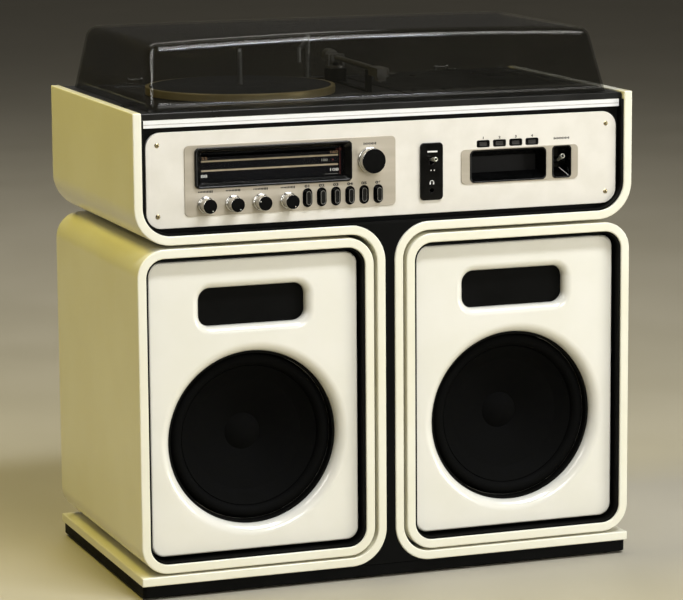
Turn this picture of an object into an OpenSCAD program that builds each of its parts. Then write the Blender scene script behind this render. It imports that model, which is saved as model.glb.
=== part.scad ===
// Stereo music centre: a tuner, tape player and record changer in a bent shell stand,
// with one loudspeaker standing on each lower arm of the stand.
// Every module is written with x across from the middle, y back from the front edge of the
// shells and z up from their underside. place() then moves it to the floor and the middle.

/* [Stand] */
// Width across the two outer walls
stand_w = 760; // [750:1:790]
// Depth of the shells from front to back
stand_d = 430; // [425:1:450]
// Thickness of the bent shells
shell_t = 13; // [12:0.5:14]
// Width of the black spine between the two shells
spine_w = 14; // [10:1:18]
// Outside radius of the bends
bend_r = 54; // [50:1:58]
// Height of the upper arm's underside above the underside of the shells
arm_z = 486; // [480:1:500]
// Height of the black base
base_h = 17; // [12:1:24]
// Height of the glides under the base
glide_h = 4; // [3:0.5:6]

/* [Speakers] */
// Wall of the speaker cabinets
cab_t = 13.3; // [12.5:0.1:14]
// Outside corner radius of the speaker cabinets
cab_r = 40; // [38:1:42]
// Depth of the moulded front behind the cabinet's front edge
baffle_in = 17; // [14:1:20]
// Diameter of the round opening
woofer_d = 252; // [244:1:254]
// Width of the slot opening
slot_w = 160; // [150:1:170]
// Height of the slot opening
slot_h = 55; // [48:1:60]

/* [Music unit] */
// Height of the faceplate
face_h = 135; // [133:1:140]
// Thickness of the faceplate
face_t = 6; // [5:0.5:7]
// Distance between neighbouring small knobs
knob_pitch = 40.7; // [39:0.1:41.5]
// Distance between neighbouring push buttons
button_pitch = 21.4; // [20.8:0.1:21.8]
// How far a push button moves in
button_travel = 4; // [3:0.5:4.5]
// Width of the cartridge mouth
tape_w = 106; // [104:0.5:107]
// Height of the cartridge mouth
tape_h = 24; // [23:0.5:25]

/* [Record changer] */
// Diameter of the platter
platter_d = 280; // [270:1:284]
// Height of the spindle above the platter
spindle_h = 53; // [45:1:55]
// Height of the cover at its front corners
lid_h = 93; // [88:1:96]
// Wall of the cover
lid_t = 3; // [2.5:0.25:3.5]

/* [Hidden] */
$fn = 64;
eps = 0.01;
far = 1;            // how far a cutting tool runs past a face
gap = 0.3;          // gap between moving pieces and round curved faces
run = 0.05;         // radial clearance of a shaft in its hole
nest = 0.2;         // gap round a panel let into a frame

half_w = stand_w / 2;
wall_in = half_w - shell_t;
shell_x = spine_w / 2;
bend_in = bend_r - shell_t;
arm_top = arm_z + shell_t;
foot_x = half_w - 2.5;

face_margin = 8;
face_hw = wall_in - face_margin;
face_z = arm_top + 9.5;
face_y = 11;
face_back = face_y + face_t;
wall_sheet = 3;
bulk_back = face_back + wall_sheet;
face_r = 22;
trim_z = face_z + face_h + 7;
trim_h = 11;
trim_t = 8;
trim_groove = 0.6;
trim_end = 4.5;
board_z = trim_z + trim_h;
board_t = 9.5;
board_top = board_z + board_t;
wall_top = board_top + 2;
case_back = stand_d - 10;
case_r = bend_in + 1;

cab_x0 = shell_x + shell_t + 5;
cab_w = half_w - 3 - cab_x0;
cab_x = cab_x0 + cab_w / 2;
runner_h = 3.3;
runner_w = 12;
runner_in = 20;
cab_z = shell_t + runner_h;
cab_h = arm_z - 5 - cab_z;
cab_mid = cab_z + cab_h / 2;
cab_iw = cab_w - 2 * cab_t;
cab_ih = cab_h - 2 * cab_t;
cab_ir = cab_r - cab_t;
baffle_gap = 6.5;
baffle_t = 16;
baffle_r = 18;
baffle_back = baffle_in + baffle_t;
baffle_w = cab_iw - 2 * baffle_gap;
baffle_h = cab_ih - 2 * baffle_gap - 2;
baffle_z = cab_mid - baffle_h / 2;
board_y = 12;
liner_back = baffle_back + board_y;
woofer_r = woofer_d / 2;
woofer_z = baffle_z + woofer_r + 34.5;
slot_z = baffle_z + baffle_h - slot_h / 2 - 42;
slot_r = 17;
round_flare = 16;
slot_flare = 12;
cone_r = woofer_r - 4.5;
roll_r = 9;
cone_t = 1.5;
cone_d = 34;
cap_r = 46;
cap_edge = 27;
flange_r = cone_r + 9;
flange_t = 2;
basket_r = 48;
basket_d = 58;
basket_t = 2.4;
magnet_r = 45;
magnet_t = 20;
panel_t = 12;
panel_back = stand_d - 8;
lead_r = 4;
lead_up = 90;

screw_x = face_hw - 16.7;
screw_in = 17.5;
screw_r = 2;
screw_head_r = 3.5;
head_out = 1.2;
cross_w = 1;
cross_d = 0.8;

plate_t = 1.5;
plate_r = 7;
plate_y = face_y - plate_t;
tuner_end = 12.5;
tuner_side = 14.5;
tuner_z = face_z + 15.3;
tuner_h = 100;
dial_w = 233.75;
dial_z = face_z + 53.75;
dial_h = 57.75;
dial_cz = dial_z + dial_h / 2;
dial_r = 6.5;
dial_rim = 2.5;
dial_front = face_y - 5.5;
dial_floor = face_y + 7;
scale_t = 2;
glass_y = face_y + 1;
glass_t = 1.5;
glass_w = dial_w - 14;
glass_h = dial_h - 11;
window_w = dial_w - 21;
window_h = dial_h - 16;
slot_up = 16;

knob_gap = 29.4;
knob_z = face_z + 31.1;
knob_r = 12;
knob_tip_r = 10.2;
knob_out = 24;
shaft_r = 3;
tuning_x = tuner_end - 39.3;
tuning_z = face_z + 82.2;
tuning_r = 18.7;
tuning_tip_r = 17.8;
tuning_out = 19;
shaft_in = 8;
mark_in = 3;
mark_r = 0.8;

button_last = tuner_end - 27;
button_first = button_last - 5 * button_pitch;
button_z = face_z + 33;
button_w = 7.5;
button_h = 20;
button_out = 8;
ring_w = 14.4;
ring_h = 26.9;
ring_front = plate_y - 0.5;
ring_floor = ring_front + 2;
pressed = button_travel;
knob_x = button_first - knob_gap - 3 * knob_pitch;
dial_gap = 9.25;
knob_edge = 3.5;
dial_x = tuning_x - tuning_r - dial_gap - dial_w;
dial_cx = dial_x + dial_w / 2;
pointer_x = dial_x + dial_w - 15.25;
pointer_w = 1.2;
tuner_x = min(dial_x, knob_x - knob_r - knob_edge) - tuner_side;
tuner_w = tuner_end - tuner_x;

power_x = tuner_end + 54.8;
power_w = 35;
power_z = face_z + 19.4;
power_h = 82.7;
power_t = 3.5;
power_front = face_y - power_t;
lever_z = face_z + 76.5;
lever_y = face_y + 8;
bush_r = 7;
jack_z = face_z + 33.5;
jack_r = 3.2;
jack_back = face_y + 15;
lever_turn = 8;
lever_l = 28;
lever_r = 2;
lever_tip_r = 3.15;
lever_tip_l = 9;
lever_hub_r = 3.4;
lever_hub_w = 6.2;
lever_pin_r = 1.2;

tape_x = 187.2;
tape_z = face_z + 64.1;
tape_bw = 119.85;
tape_bh = 47.2;
tape_br = 7;
tape_rim = 2;
tape_plate_x = 113.75;
tape_plate_w = 184;
tape_plate_z = face_z + 39;
tape_plate_h = 50.5;
tape_front = face_y - 2.5;
tape_throat = face_y + 19;
tape_back = face_y + 22;
well_x = 271.75;
well_w = 30.3;
well_z = face_z + 64.75;
well_h = 47.3;
well_r = 5.5;
well_rim = 1.5;
well_in_h = well_h - 9;
well_floor = face_y + 20;
well_in = 24;
prog_y = face_y + 15;
prog_r = 4;
prog_turn = 24;
prog_l = 22.5;
prog_stem_r = 2.2;
prog_tip_r = 3.45;
prog_tip_l = 7.5;
pin_r = 1.5;
lamp_x = 148.5;
lamp_pitch = 25.53;
lamp_z = face_z + 96.5;
lamp_w = 20;
lamp_h = 10;
lamp_r = 2.5;
lens_w = 12;
lens_h = 5;
lens_in = 0.8;
lamp_out = 0.6;
door_w = tape_w + 2;
door_h = tape_h + 3;
door_t = 2;
door_y = tape_back + gap;
door_axis_y = door_y + pin_r;
door_axis_z = tape_z + tape_h / 2 + 3.6;
ear_t = 3;
ear_x = door_w / 2 + gap + ear_t / 2;
ear_out = 4.5;
ear_h = 7;
ear_low = 4;
well_lip = 6;
floor_z = arm_top + wall_sheet;
sheet = 1.5;
frame_side = 7;
frame_hw = tape_w / 2 + frame_side;
frame_in = ear_out + 0.5;
frame_d = 160;
frame_top = door_axis_z + 12;
shelf_in = door_h + 12;
rail_d = 100;
drive_r = 20;
drive_h = 36;

amp_x = -300;
amp_y = 90;
amp_w = 340;
amp_d = 250;
amp_lip = 14;
core_w = 80;
core_d = 66;
core_h = 60;
fins = 8;
fin_pitch = 14;
fin_t = 2.5;
fin_d = 80;
fin_h = 44;
can_r = 17;
can_h = 50;
gland_r = 4;
gland_x = wall_in - 67;
socket_r = 1.65;
socket_x = 60;
rear_t = 3;
rear_y = case_back - 2 * rear_t;

deck_drop = 2;
deck_t = 2.5;
deck_top = board_top - deck_drop;
deck_x = -292;
deck_w = platter_d + 90;
deck_d = platter_d + 30;
deck_y = stand_d - 38 - deck_d;
deck_lip = 8;
hub_x = deck_x + platter_d / 2 + 7;
hub_y = deck_y + platter_d / 2 + 13;
platter_r = platter_d / 2;
platter_z = deck_top + 2;
platter_h = 11;
platter_top = platter_z + platter_h;
platter_t = 2.5;
hub_r = 4;
spindle_r = 3.58;
spindle_base = 2;
spindle_tip = 4;
spindle_tip_r = 2;
foot_r = 12;
foot_h = 8;

arm_x = deck_x + deck_w - 33;
arm_y = deck_y + deck_d - 47;
arm_len = 231;
arm_turn = 3.2;
tube_r = 4;
tube_z = deck_top + 37;
rest_at = 165;
yoke_z = deck_top + 21;
yoke_r = 14;
yoke_pin = 4;
yoke_t = 4;
over_x = deck_x + deck_w - 68;
over_y = deck_y + deck_d - 20;
over_len = 209;
over_turn = -23.1;
over_z = deck_top + 70;
over_post_r = 4;
over_r = 3;
over_tip_r = 3.2;
over_tip_l = 22;
base_r = 17;
pivot_h = 9;
rest_w = 8;
sill_h = 3;
cheek_x = 10;
cheek_t = 3;
cheek_d = 10;
block_w = 2 * cheek_x - 2;
weight_r = 10.5;
weight_in = 20;
weight_l = 22;
head_w = 18;
head_l = 44;
head_h = 13;
head_t = 1.5;
pickup_h = 14;
motor_r = 36;
motor_h = 44;
motor_x = 62;
motor_y = 70;
post_r = 4;
post_h = 6;

lid_hw = 350;
lid_front = 18;
lid_back = stand_d - 12;
lid_z = board_top + gap;
lid_r = 16;
lid_round = 20;
lid_rise = 1;
lid_crown = 7;
lid_in_x = 29;
lid_in_f = 50;
lid_in_b = 48;
lid_core_x = lid_hw - lid_in_x;
lid_core_z = lid_z + lid_h - lid_round;
hinge_x = 250;
hinge_y = stand_d - 6;
hinge_z = board_top + 5;
hinge_r = 4.5;
hinge_w = 16;
hinge_pin = 2;

black = [0.05, 0.05, 0.05];
cream = [0.93, 0.90, 0.80];
satin = [0.90, 0.88, 0.80];
taupe = [0.70, 0.66, 0.58];
steel = [0.75, 0.75, 0.75];
brass = [0.75, 0.60, 0.30];
dark = [0.12, 0.12, 0.12];

// From the working axes to the floor and to the middle between the knobs' faces and the back
module place() translate([0, -(stand_d + face_y - knob_out) / 2, glide_h + base_h]) children();

// A flat shape drawn across and up, made solid from y0 back to y1
module slab(y0, y1) translate([0, y1, 0]) rotate([90, 0, 0]) linear_extrude(height = y1 - y0) children();

// A turned shape whose axis runs back along y
module turned() rotate([-90, 0, 0]) rotate_extrude() children();

// Round bar from one end at x0 to the other at x1
module bar_x(x0, x1, r) translate([x0, 0, 0]) rotate([0, 90, 0]) cylinder(r = r, h = x1 - x0);

// Round bar that runs back from y0 to y1
module bar_y(y0, y1, r) translate([0, y0, 0]) rotate([-90, 0, 0]) cylinder(r = r, h = y1 - y0);

// Rounded rectangle round its own middle
module soft(w, h, r) {
    square([w - 2 * r, h], center = true);
    square([w, h - 2 * r], center = true);
    for (sx = [-1, 1], sy = [-1, 1]) translate([sx * (w / 2 - r), sy * (h / 2 - r)]) circle(r);
}

// Pill with straight sides and round ends
module pill(w, h) {
    square([w, h - w], center = true);
    for (s = [-1, 1]) translate([0, s * (h - w) / 2]) circle(w / 2);
}

// Tub shape: straight sides, open top, rounded bottom corners
module tub(hw, z0, z1, r) {
    translate([-hw, z0 + r]) square([2 * hw, z1 - z0 - r]);
    translate([-hw + r, z0]) square([2 * (hw - r), r]);
    for (s = [-1, 1]) translate([s * (hw - r), z0 + r]) circle(r);
}

// One quarter of a bend; sx and sz say which way it points
module bend(sx, sz) intersection() {
    difference() {
        circle(bend_r);
        circle(bend_in);
    }
    translate([sx > 0 ? 0 : -bend_r, sz > 0 ? 0 : -bend_r]) square(bend_r);
}

// Section of the right shell
module shell_section() {
    translate([wall_in, arm_z + bend_r]) square([shell_t, wall_top - arm_z - bend_r]);
    translate([half_w - bend_r, arm_z + bend_r]) bend(1, -1);
    translate([shell_x + bend_r, arm_z]) square([half_w - shell_x - 2 * bend_r, shell_t]);
    translate([shell_x + bend_r, arm_top - bend_r]) bend(-1, 1);
    translate([shell_x, bend_r]) square([shell_t, arm_top - 2 * bend_r]);
    translate([shell_x + bend_r, bend_r]) bend(-1, -1);
    translate([shell_x + bend_r, 0]) square([foot_x - shell_x - bend_r, shell_t]);
}

module shell_right() color(cream) place() slab(0, stand_d) shell_section();

module shell_left() color(cream) place() mirror([1, 0, 0]) slab(0, stand_d) shell_section();

// Strip between the shells with its flares, kept a hair off the bends
module centre_spine() color(black) place() slab(2, stand_d - 2) {
    flare = shell_x + bend_r - 12;
    translate([-shell_x, bend_r - eps]) square([spine_w, arm_top - 2 * bend_r + 2 * eps]);
    for (end = [0, 1]) difference() {
        translate([-flare, end * (arm_top - bend_r)]) square([2 * flare, bend_r]);
        for (s = [-1, 1]) translate([s * (shell_x + bend_r), end ? arm_top - bend_r : bend_r])
            circle(bend_r + gap);
    }
}

module base_plinth() color(black) place() translate([0, stand_d / 2, -base_h])
    linear_extrude(height = base_h) soft(2 * foot_x - 5, stand_d - 6, 6);

module base_glides() color(dark) place() for (s = [-1, 1], y = [45, stand_d - 45])
    translate([s * (half_w - 50), y, -base_h - glide_h]) cylinder(r = 14, h = glide_h);

// Loudspeaker pieces, drawn once and set down on the side named by s
module cabinet(s) color(cream) place() translate([s * cab_x, 0, 0]) {
    slab(0, stand_d) translate([0, cab_mid]) difference() {
        soft(cab_w, cab_h, cab_r);
        soft(cab_iw, cab_ih, cab_ir);
    }
    for (t = [-1, 1]) translate([t * (cab_w / 2 - cab_r - 30) - runner_w / 2, runner_in, shell_t])
        cube([runner_w, stand_d - 2 * runner_in, runner_h + far]);
}

module liner(s) color(black) place() translate([s * cab_x, 0, 0]) {
    slab(2, baffle_back + eps) translate([0, cab_mid]) difference() {
        soft(cab_iw - 2 * nest, cab_ih - 2 * nest, cab_ir - nest);
        soft(cab_iw - 5, cab_ih - 5, cab_ir - 2.5);
    }
    difference() {
        slab(baffle_back, liner_back) translate([0, cab_mid])
            soft(cab_iw - 2 * nest, cab_ih - 2 * nest, cab_ir - nest);
        translate([0, 0, woofer_z]) bar_y(baffle_back - far, liner_back + far, cone_r + 0.5);
    }
}

// Cut that rolls the edge of a hole of radius r back over the depth f
module roll_cut(r, f) difference() {
    translate([r - eps, -far]) square([f + eps, f + far]);
    translate([r + f, f]) circle(f);
}

module baffle(s) color(cream) place() translate([s * cab_x, 0, 0]) difference() {
    slab(baffle_in, baffle_back) translate([0, baffle_z + baffle_h / 2]) soft(baffle_w, baffle_h, baffle_r);
    translate([0, 0, woofer_z]) bar_y(baffle_in - far, baffle_back + far, woofer_r);
    translate([0, baffle_in, woofer_z]) turned() roll_cut(woofer_r, round_flare - eps);
    slab(baffle_in - far, baffle_back + far) translate([0, slot_z]) soft(slot_w, slot_h, slot_r);
    for (sx = [-1, 1], sz = [-1, 1])
        translate([sx * (slot_w / 2 - slot_r), baffle_in, slot_z + sz * (slot_h / 2 - slot_r)])
            turned() roll_cut(slot_r, slot_flare);
    for (sz = [0, 180]) translate([0, baffle_in, slot_z]) rotate([0, sz, 0])
        translate([-(slot_w / 2 - slot_r), 0, slot_h / 2 - slot_r]) rotate([0, 90, 0])
            linear_extrude(height = slot_w - 2 * slot_r) mirror([1, 0, 0]) roll_cut(slot_r, slot_flare);
    for (sx = [0, 180]) translate([0, baffle_in, slot_z]) rotate([0, sx, 0])
        translate([slot_w / 2 - slot_r, 0, -(slot_h / 2 - slot_r)])
            linear_extrude(height = slot_h - 2 * slot_r) roll_cut(slot_r, slot_flare);
}

// Basket and magnet, flange against the back of the board
module woofer_chassis(s) color(steel) place() translate([s * cab_x, liner_back, woofer_z]) turned() {
    polygon([[cone_r - roll_r, 0], [flange_r, 0], [flange_r, flange_t], [cone_r, flange_t],
             [basket_r, basket_d], [basket_r, basket_d + basket_t], [0, basket_d + basket_t], [0, basket_d],
             [basket_r - basket_t, basket_d], [cone_r - basket_t, flange_t], [cone_r - roll_r, flange_t]]);
    translate([0, basket_d]) square([magnet_r, magnet_t]);
}

// Cone, rolled edge and dust cap in one thin turned piece
module woofer_cone(s) color(black) place() translate([s * cab_x, liner_back, woofer_z]) turned() {
    mid = cone_r - roll_r - 1;
    skin = cone_t;
    translate([cone_r - 2.5, -skin]) square([2.5, skin]);
    difference() {
        translate([mid, 0]) circle(roll_r);
        translate([mid, 0]) circle(roll_r - skin);
        translate([mid - roll_r - far, 0]) square([2 * (roll_r + far), roll_r + far]);
    }
    polygon([[mid - roll_r, -skin], [mid - roll_r + skin, -skin], [mid - roll_r + skin, 0],
             [cap_edge + 1, cone_d], [cap_edge - 1, cone_d], [cap_edge - 1, cone_d - 2]]);
    intersection() {
        difference() {
            translate([0, 2 * cone_d]) circle(cap_r);
            translate([0, 2 * cone_d]) circle(cap_r - skin);
        }
        square([cap_edge, cone_d]);
    }
}

module back_panel(s) color(dark) place() translate([s * cab_x, 0, 0]) difference() {
    slab(panel_back - panel_t, panel_back) translate([0, cab_mid])
        soft(cab_iw - 2 * nest, cab_ih - 2 * nest, cab_ir - nest);
    translate([0, 0, cab_z + lead_up]) bar_y(panel_back - panel_t - far, panel_back + far, lead_r);
}

module left_cabinet() cabinet(-1);
module left_liner() liner(-1);
module left_baffle() baffle(-1);
module left_woofer_chassis() woofer_chassis(-1);
module left_woofer_cone() woofer_cone(-1);
module left_back_panel() back_panel(-1);
module right_cabinet() cabinet(1);
module right_liner() liner(1);
module right_baffle() baffle(1);
module right_woofer_chassis() woofer_chassis(1);
module right_woofer_cone() woofer_cone(1);
module right_back_panel() back_panel(1);

// Holes that the faceplate and the bulkhead behind it share; m is added all round
module control_holes(m) {
    for (i = [0:3]) translate([knob_x + i * knob_pitch, knob_z]) circle(shaft_r + run + m);
    translate([tuning_x, tuning_z]) circle(shaft_r + run + m);
    translate([dial_cx, dial_cz]) soft(dial_w - 4 + 2 * m, dial_h - 4 + 2 * m, 5);
    translate([power_x, lever_z]) circle(bush_r + nest + m);
    translate([power_x, jack_z]) circle(bush_r - 1 + nest + m);
}

// The opening for the cartridge moulding, with the lever recess beside it
module tape_opening(m) translate([(tape_x - tape_bw / 2 + well_x + well_w / 2) / 2, tape_z])
    soft(well_x + well_w / 2 - tape_x + tape_bw / 2 + 2 * m, tape_bh - 1 + 2 * m, 5);

// One long slot behind the whole row of buttons; w and h are the room for one of them
module button_slot(w, h) translate([(button_first + button_last) / 2, button_z])
    soft(button_last - button_first + w, h, w / 2);

// Tray between the shells
module unit_case() color(black) place() slab(2, case_back) difference() {
    tub(wall_in, arm_top, board_z, case_r);
    tub(wall_in - wall_sheet, arm_top + wall_sheet, board_z + far, case_r - wall_sheet);
}

// Wall across the front of the tray that carries the faceplate
module front_bulkhead() color(black) place() difference() {
    slab(face_back, bulk_back)
        tub(wall_in - wall_sheet - nest, arm_top + wall_sheet, board_z, case_r - wall_sheet + nest);
    slab(face_back - far, bulk_back + far) {
        control_holes(0.5);
        tape_opening(0.5);
        button_slot(button_w + 1.6, button_h + 1.6);
    }
}

module faceplate() color(satin) place() difference() {
    slab(face_y, face_back) translate([0, face_z + face_h / 2]) soft(2 * face_hw, face_h, face_r);
    slab(face_y - far, face_back + far) {
        control_holes(0);
        tape_opening(nest);
        button_slot(ring_w + 2 * nest, ring_h + 2 * nest);
        for (i = [0:3]) translate([lamp_x + i * lamp_pitch, lamp_z])
            soft(lamp_w + 2 * nest, lamp_h + 2 * nest, lamp_r);
        for (s = [-1, 1], z = [screw_in, face_h - screw_in]) translate([s * screw_x, face_z + z])
            circle(screw_r + nest);
    }
}

module face_screws() color(brass) place() for (s = [-1, 1], z = [screw_in, face_h - screw_in])
    translate([s * screw_x, 0, face_z + z]) {
        difference() {
            union() {
                bar_y(face_y - head_out, face_y, screw_head_r);
                bar_y(face_y - eps, face_back, screw_r);
            }
            for (turn = [0, 90]) rotate([0, turn, 0])
                translate([-cross_w / 2, face_y - head_out - far, -screw_r])
                    cube([cross_w, far + cross_d, 2 * screw_r]);
        }
    }

module tuner_plate() color(taupe) place() difference() {
    slab(plate_y, face_y) translate([tuner_x + tuner_w / 2, tuner_z + tuner_h / 2])
        soft(tuner_w, tuner_h, plate_r);
    slab(plate_y - far, face_y + far) {
        for (i = [0:3]) translate([knob_x + i * knob_pitch, knob_z]) circle(shaft_r + 0.5);
        translate([tuning_x, tuning_z]) circle(shaft_r + 0.5);
        translate([dial_cx, dial_cz]) soft(dial_w - 4 + 2 * nest, dial_h - 4 + 2 * nest, 5);
        for (i = [0:5]) translate([button_last - i * button_pitch, button_z])
            pill(ring_w + 2 * nest, ring_h + 2 * nest);
    }
}

// Frame of the dial: proud rim, sloped inner sides, step for the window
module dial_bezel() color(black) place() difference() {
    union() {
        slab(dial_front, plate_y) translate([dial_cx, dial_cz]) soft(dial_w, dial_h, dial_r);
        slab(plate_y - eps, bulk_back) translate([dial_cx, dial_cz])
            soft(dial_w - 4 - 2 * nest, dial_h - 4 - 2 * nest, 5);
    }
    hull() {
        slab(dial_front - eps, dial_front) translate([dial_cx, dial_cz])
            soft(dial_w - 2 * dial_rim, dial_h - 2 * dial_rim, 5);
        slab(glass_y - eps, glass_y) translate([dial_cx, dial_cz]) soft(glass_w, glass_h, 3);
    }
    slab(glass_y - eps, glass_y + glass_t) translate([dial_cx, dial_cz]) soft(glass_w, glass_h, 3);
    slab(glass_y, dial_floor) translate([dial_cx, dial_cz]) soft(window_w, window_h, 2);
    slab(dial_floor - eps, bulk_back + far) translate([dial_cx, dial_cz]) soft(dial_w - 10, dial_h - 10, 3);
}

module dial_scale() color(black) place() difference() {
    slab(dial_floor, dial_floor + scale_t) translate([dial_cx, dial_cz])
        soft(dial_w - 10 - 2 * nest, dial_h - 10 - 2 * nest, 3);
    slab(dial_floor - far, dial_floor + scale_t + far) translate([dial_cx, dial_cz + slot_up])
        square([window_w, 4], center = true);
}

module dial_glass() color([0.85, 0.88, 0.90, 0.3]) place()
    slab(glass_y + nest, glass_y + glass_t - eps) translate([dial_cx, dial_cz])
        soft(glass_w - 2 * nest, glass_h - 2 * nest, 3);

// Blade in front of the scale, tail through its slot, carriage behind it
module dial_pointer() color([0.7, 0.15, 0.1]) place() translate([pointer_x, 0, dial_cz]) {
    translate([-pointer_w / 2, dial_floor - 2.5, -window_h / 2 + 1.5])
        cube([pointer_w, pointer_w, window_h - 3]);
    translate([-pointer_w / 2, dial_floor - 2.5, slot_up - 1.4]) cube([pointer_w, scale_t + 4.5, 2.8]);
    translate([-4, dial_floor + scale_t + gap, slot_up - 4]) cube([8, 2, 8]);
}

// Small knob: tapered bright skirt, black face, shaft through the panel
module small_knob(i, turn) color(steel) place()
    translate([knob_x + i * knob_pitch, 0, knob_z]) difference() {
    union() {
        translate([0, plate_y - 0.5, 0]) rotate([90, 0, 0])
            cylinder(r1 = knob_r, r2 = knob_tip_r, h = knob_out - plate_t - 0.5);
        bar_y(plate_y - 0.5 - eps, bulk_back + shaft_in, shaft_r);
    }
    rotate([0, turn, 0]) translate([0, face_y - knob_out - far, knob_tip_r - mark_in])
        bar_y(0, far + 0.5, mark_r);
}

module volume_knob() small_knob(0, 150);
module balance_knob() small_knob(1, 150);
module treble_knob() small_knob(2, -66);
module bass_knob() small_knob(3, 150);

module tuning_knob() color(steel) place() translate([tuning_x, 0, tuning_z]) {
    translate([0, plate_y - 0.5, 0]) rotate([90, 0, 0])
        cylinder(r1 = tuning_r, r2 = tuning_tip_r, h = tuning_out - plate_t - 0.5);
    bar_y(plate_y - 0.5 - eps, bulk_back + shaft_in, shaft_r);
}

// Push button number i from the left, moved in by push
module button(i, push) color(dark) place() translate([button_first + i * button_pitch, push, button_z]) {
    slab(ring_floor - button_out, bulk_back + gap + eps) pill(button_w, button_h);
    slab(bulk_back + gap, bulk_back + gap + 2) pill(button_w + 3.6, button_h + 3.6);
}

module button_phono() button(0, 0);
module button_am() button(1, 0);
module button_fm() button(2, 0);
module button_stereo() button(3, 0);
module button_tape() button(4, pressed);
module button_afc() button(5, 0);

module button_bezels() color(black) place() for (i = [0:5])
    translate([button_last - i * button_pitch, 0, button_z]) difference() {
        slab(ring_front, face_back) pill(ring_w, ring_h);
        slab(ring_front - far, ring_floor) pill(ring_w - 2, ring_h - 2);
        slab(ring_front - far, face_back + far) pill(button_w + 2 * gap, button_h + 2 * gap);
    }

// Switch and socket plate with the sleeve of the switch and the sleeve of the socket
module power_plate() color(black) place() difference() {
    union() {
        slab(power_front, face_y) translate([power_x, power_z + power_h / 2]) soft(power_w, power_h, 6);
        translate([power_x, 0, lever_z]) bar_y(face_y - eps, lever_y + 7, bush_r);
        translate([power_x, 0, jack_z]) bar_y(face_y - eps, jack_back, bush_r - 1);
    }
    translate([power_x, 0, jack_z]) bar_y(power_front - far, jack_back + far, jack_r);
    translate([power_x - 3.4, power_front - far, lever_z - 5.5]) cube([6.8, lever_y + 6 - power_front, 11]);
    translate([power_x, lever_y, lever_z]) bar_x(-bush_r, bush_r, lever_pin_r + run);
}

module power_lever() color(steel) place()
    translate([power_x, lever_y, lever_z]) rotate([-lever_turn, 0, 0]) {
        bar_x(-lever_hub_w / 2, lever_hub_w / 2, lever_hub_r);
        bar_x(-5, 5, lever_pin_r);
        difference() {
            union() {
                bar_y(-lever_l + 3, 0, lever_r);
                bar_y(-lever_l, -lever_l + lever_tip_l, lever_tip_r);
            }
            bar_y(-lever_l - far, -lever_l + 4, lever_r);
        }
    }

module tape_plate() color(taupe) place() difference() {
    slab(plate_y, face_y) translate([tape_plate_x + tape_plate_w / 2, tape_plate_z + tape_plate_h / 2])
        soft(tape_plate_w, tape_plate_h, plate_r);
    slab(plate_y - far, face_y + far) {
        translate([tape_x, tape_z]) soft(tape_bw + 2 * nest, tape_bh + 2 * nest, tape_br);
        translate([well_x, well_z]) soft(well_w + 2 * nest, well_h + 2 * nest, well_r);
    }
}

// Outlines of the two rims that stand proud of the faceplate
module tape_rims() {
    translate([tape_x, tape_z]) soft(tape_bw, tape_bh, tape_br);
    translate([well_x, well_z]) soft(well_w, well_h, well_r);
}

// Black moulding with the sloped cartridge mouth and the lever recess
module tape_bezel() color(black) place() difference() {
    union() {
        slab(tape_front, face_y) tape_rims();
        slab(face_y - eps, tape_back) intersection() {
            tape_rims();
            tape_opening(0);
        }
        slab(face_y, tape_back) tape_opening(0);
        for (s = [-1, 1])
            translate([tape_x + s * ear_x - ear_t / 2, tape_back - eps, door_axis_z - ear_low])
                cube([ear_t, ear_out, ear_h]);
    }
    hull() {
        slab(tape_front - far, tape_front) translate([tape_x, tape_z])
            soft(tape_bw - 2 * tape_rim, tape_bh - 2 * tape_rim, tape_br - 1);
        slab(tape_throat - eps, tape_throat) translate([tape_x, tape_z]) soft(tape_w, tape_h, 2);
    }
    slab(tape_throat - far, tape_back + far) translate([tape_x, tape_z]) soft(tape_w, tape_h, 2);
    hull() {
        slab(tape_front - far, tape_front) translate([well_x, well_z])
            soft(well_w - 2 * well_rim, well_h - 2 * well_rim, well_r - 1);
        slab(tape_front + well_lip, tape_front + well_lip + eps) translate([well_x, well_z])
            soft(well_in, well_in_h, 3);
    }
    slab(tape_front + well_lip, well_floor) translate([well_x, well_z]) soft(well_in, well_in_h, 3);
    translate([well_x, prog_y, well_z]) bar_x(-well_in / 2 - 2.5, well_in / 2 + 2.5, pin_r + run);
    for (s = [-1, 1]) translate([tape_x + s * ear_x, door_axis_y, door_axis_z])
        bar_x(-ear_t, ear_t, pin_r + run);
}

// Flap that swings in and up on the pins at its top edge
module tape_door() color(black) place() translate([tape_x, door_axis_y, door_axis_z]) {
    translate([-door_w / 2, -pin_r, -door_h - 1]) cube([door_w, door_t, door_h + 1]);
    bar_x(-door_w / 2 - gap - ear_t + 0.4, door_w / 2 + gap + ear_t - 0.4, pin_r);
}

// Sheet frame behind the flap, open at the front, with the cartridge's shelf and rails and the motor
module tape_transport() color(steel) place() translate([tape_x, tape_back, 0]) {
    difference() {
        translate([-frame_hw, frame_in, floor_z]) cube([2 * frame_hw, frame_d, frame_top - floor_z]);
        translate([-frame_hw + sheet, frame_in - far, floor_z + sheet])
            cube([2 * (frame_hw - sheet), frame_d + far - sheet, frame_top - floor_z - 2 * sheet]);
    }
    translate([-frame_hw + eps, shelf_in, tape_z - tape_h / 2 - sheet])
        cube([2 * (frame_hw - eps), frame_in + frame_d - shelf_in - eps, sheet]);
    for (x = [-frame_hw + eps, tape_w / 2]) translate([x, shelf_in, tape_z - tape_h / 2 - eps])
        cube([frame_hw - tape_w / 2 - eps, rail_d, tape_h]);
    translate([0, frame_in + frame_d * 0.7, floor_z + eps]) cylinder(r = drive_r, h = drive_h);
}

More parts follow.
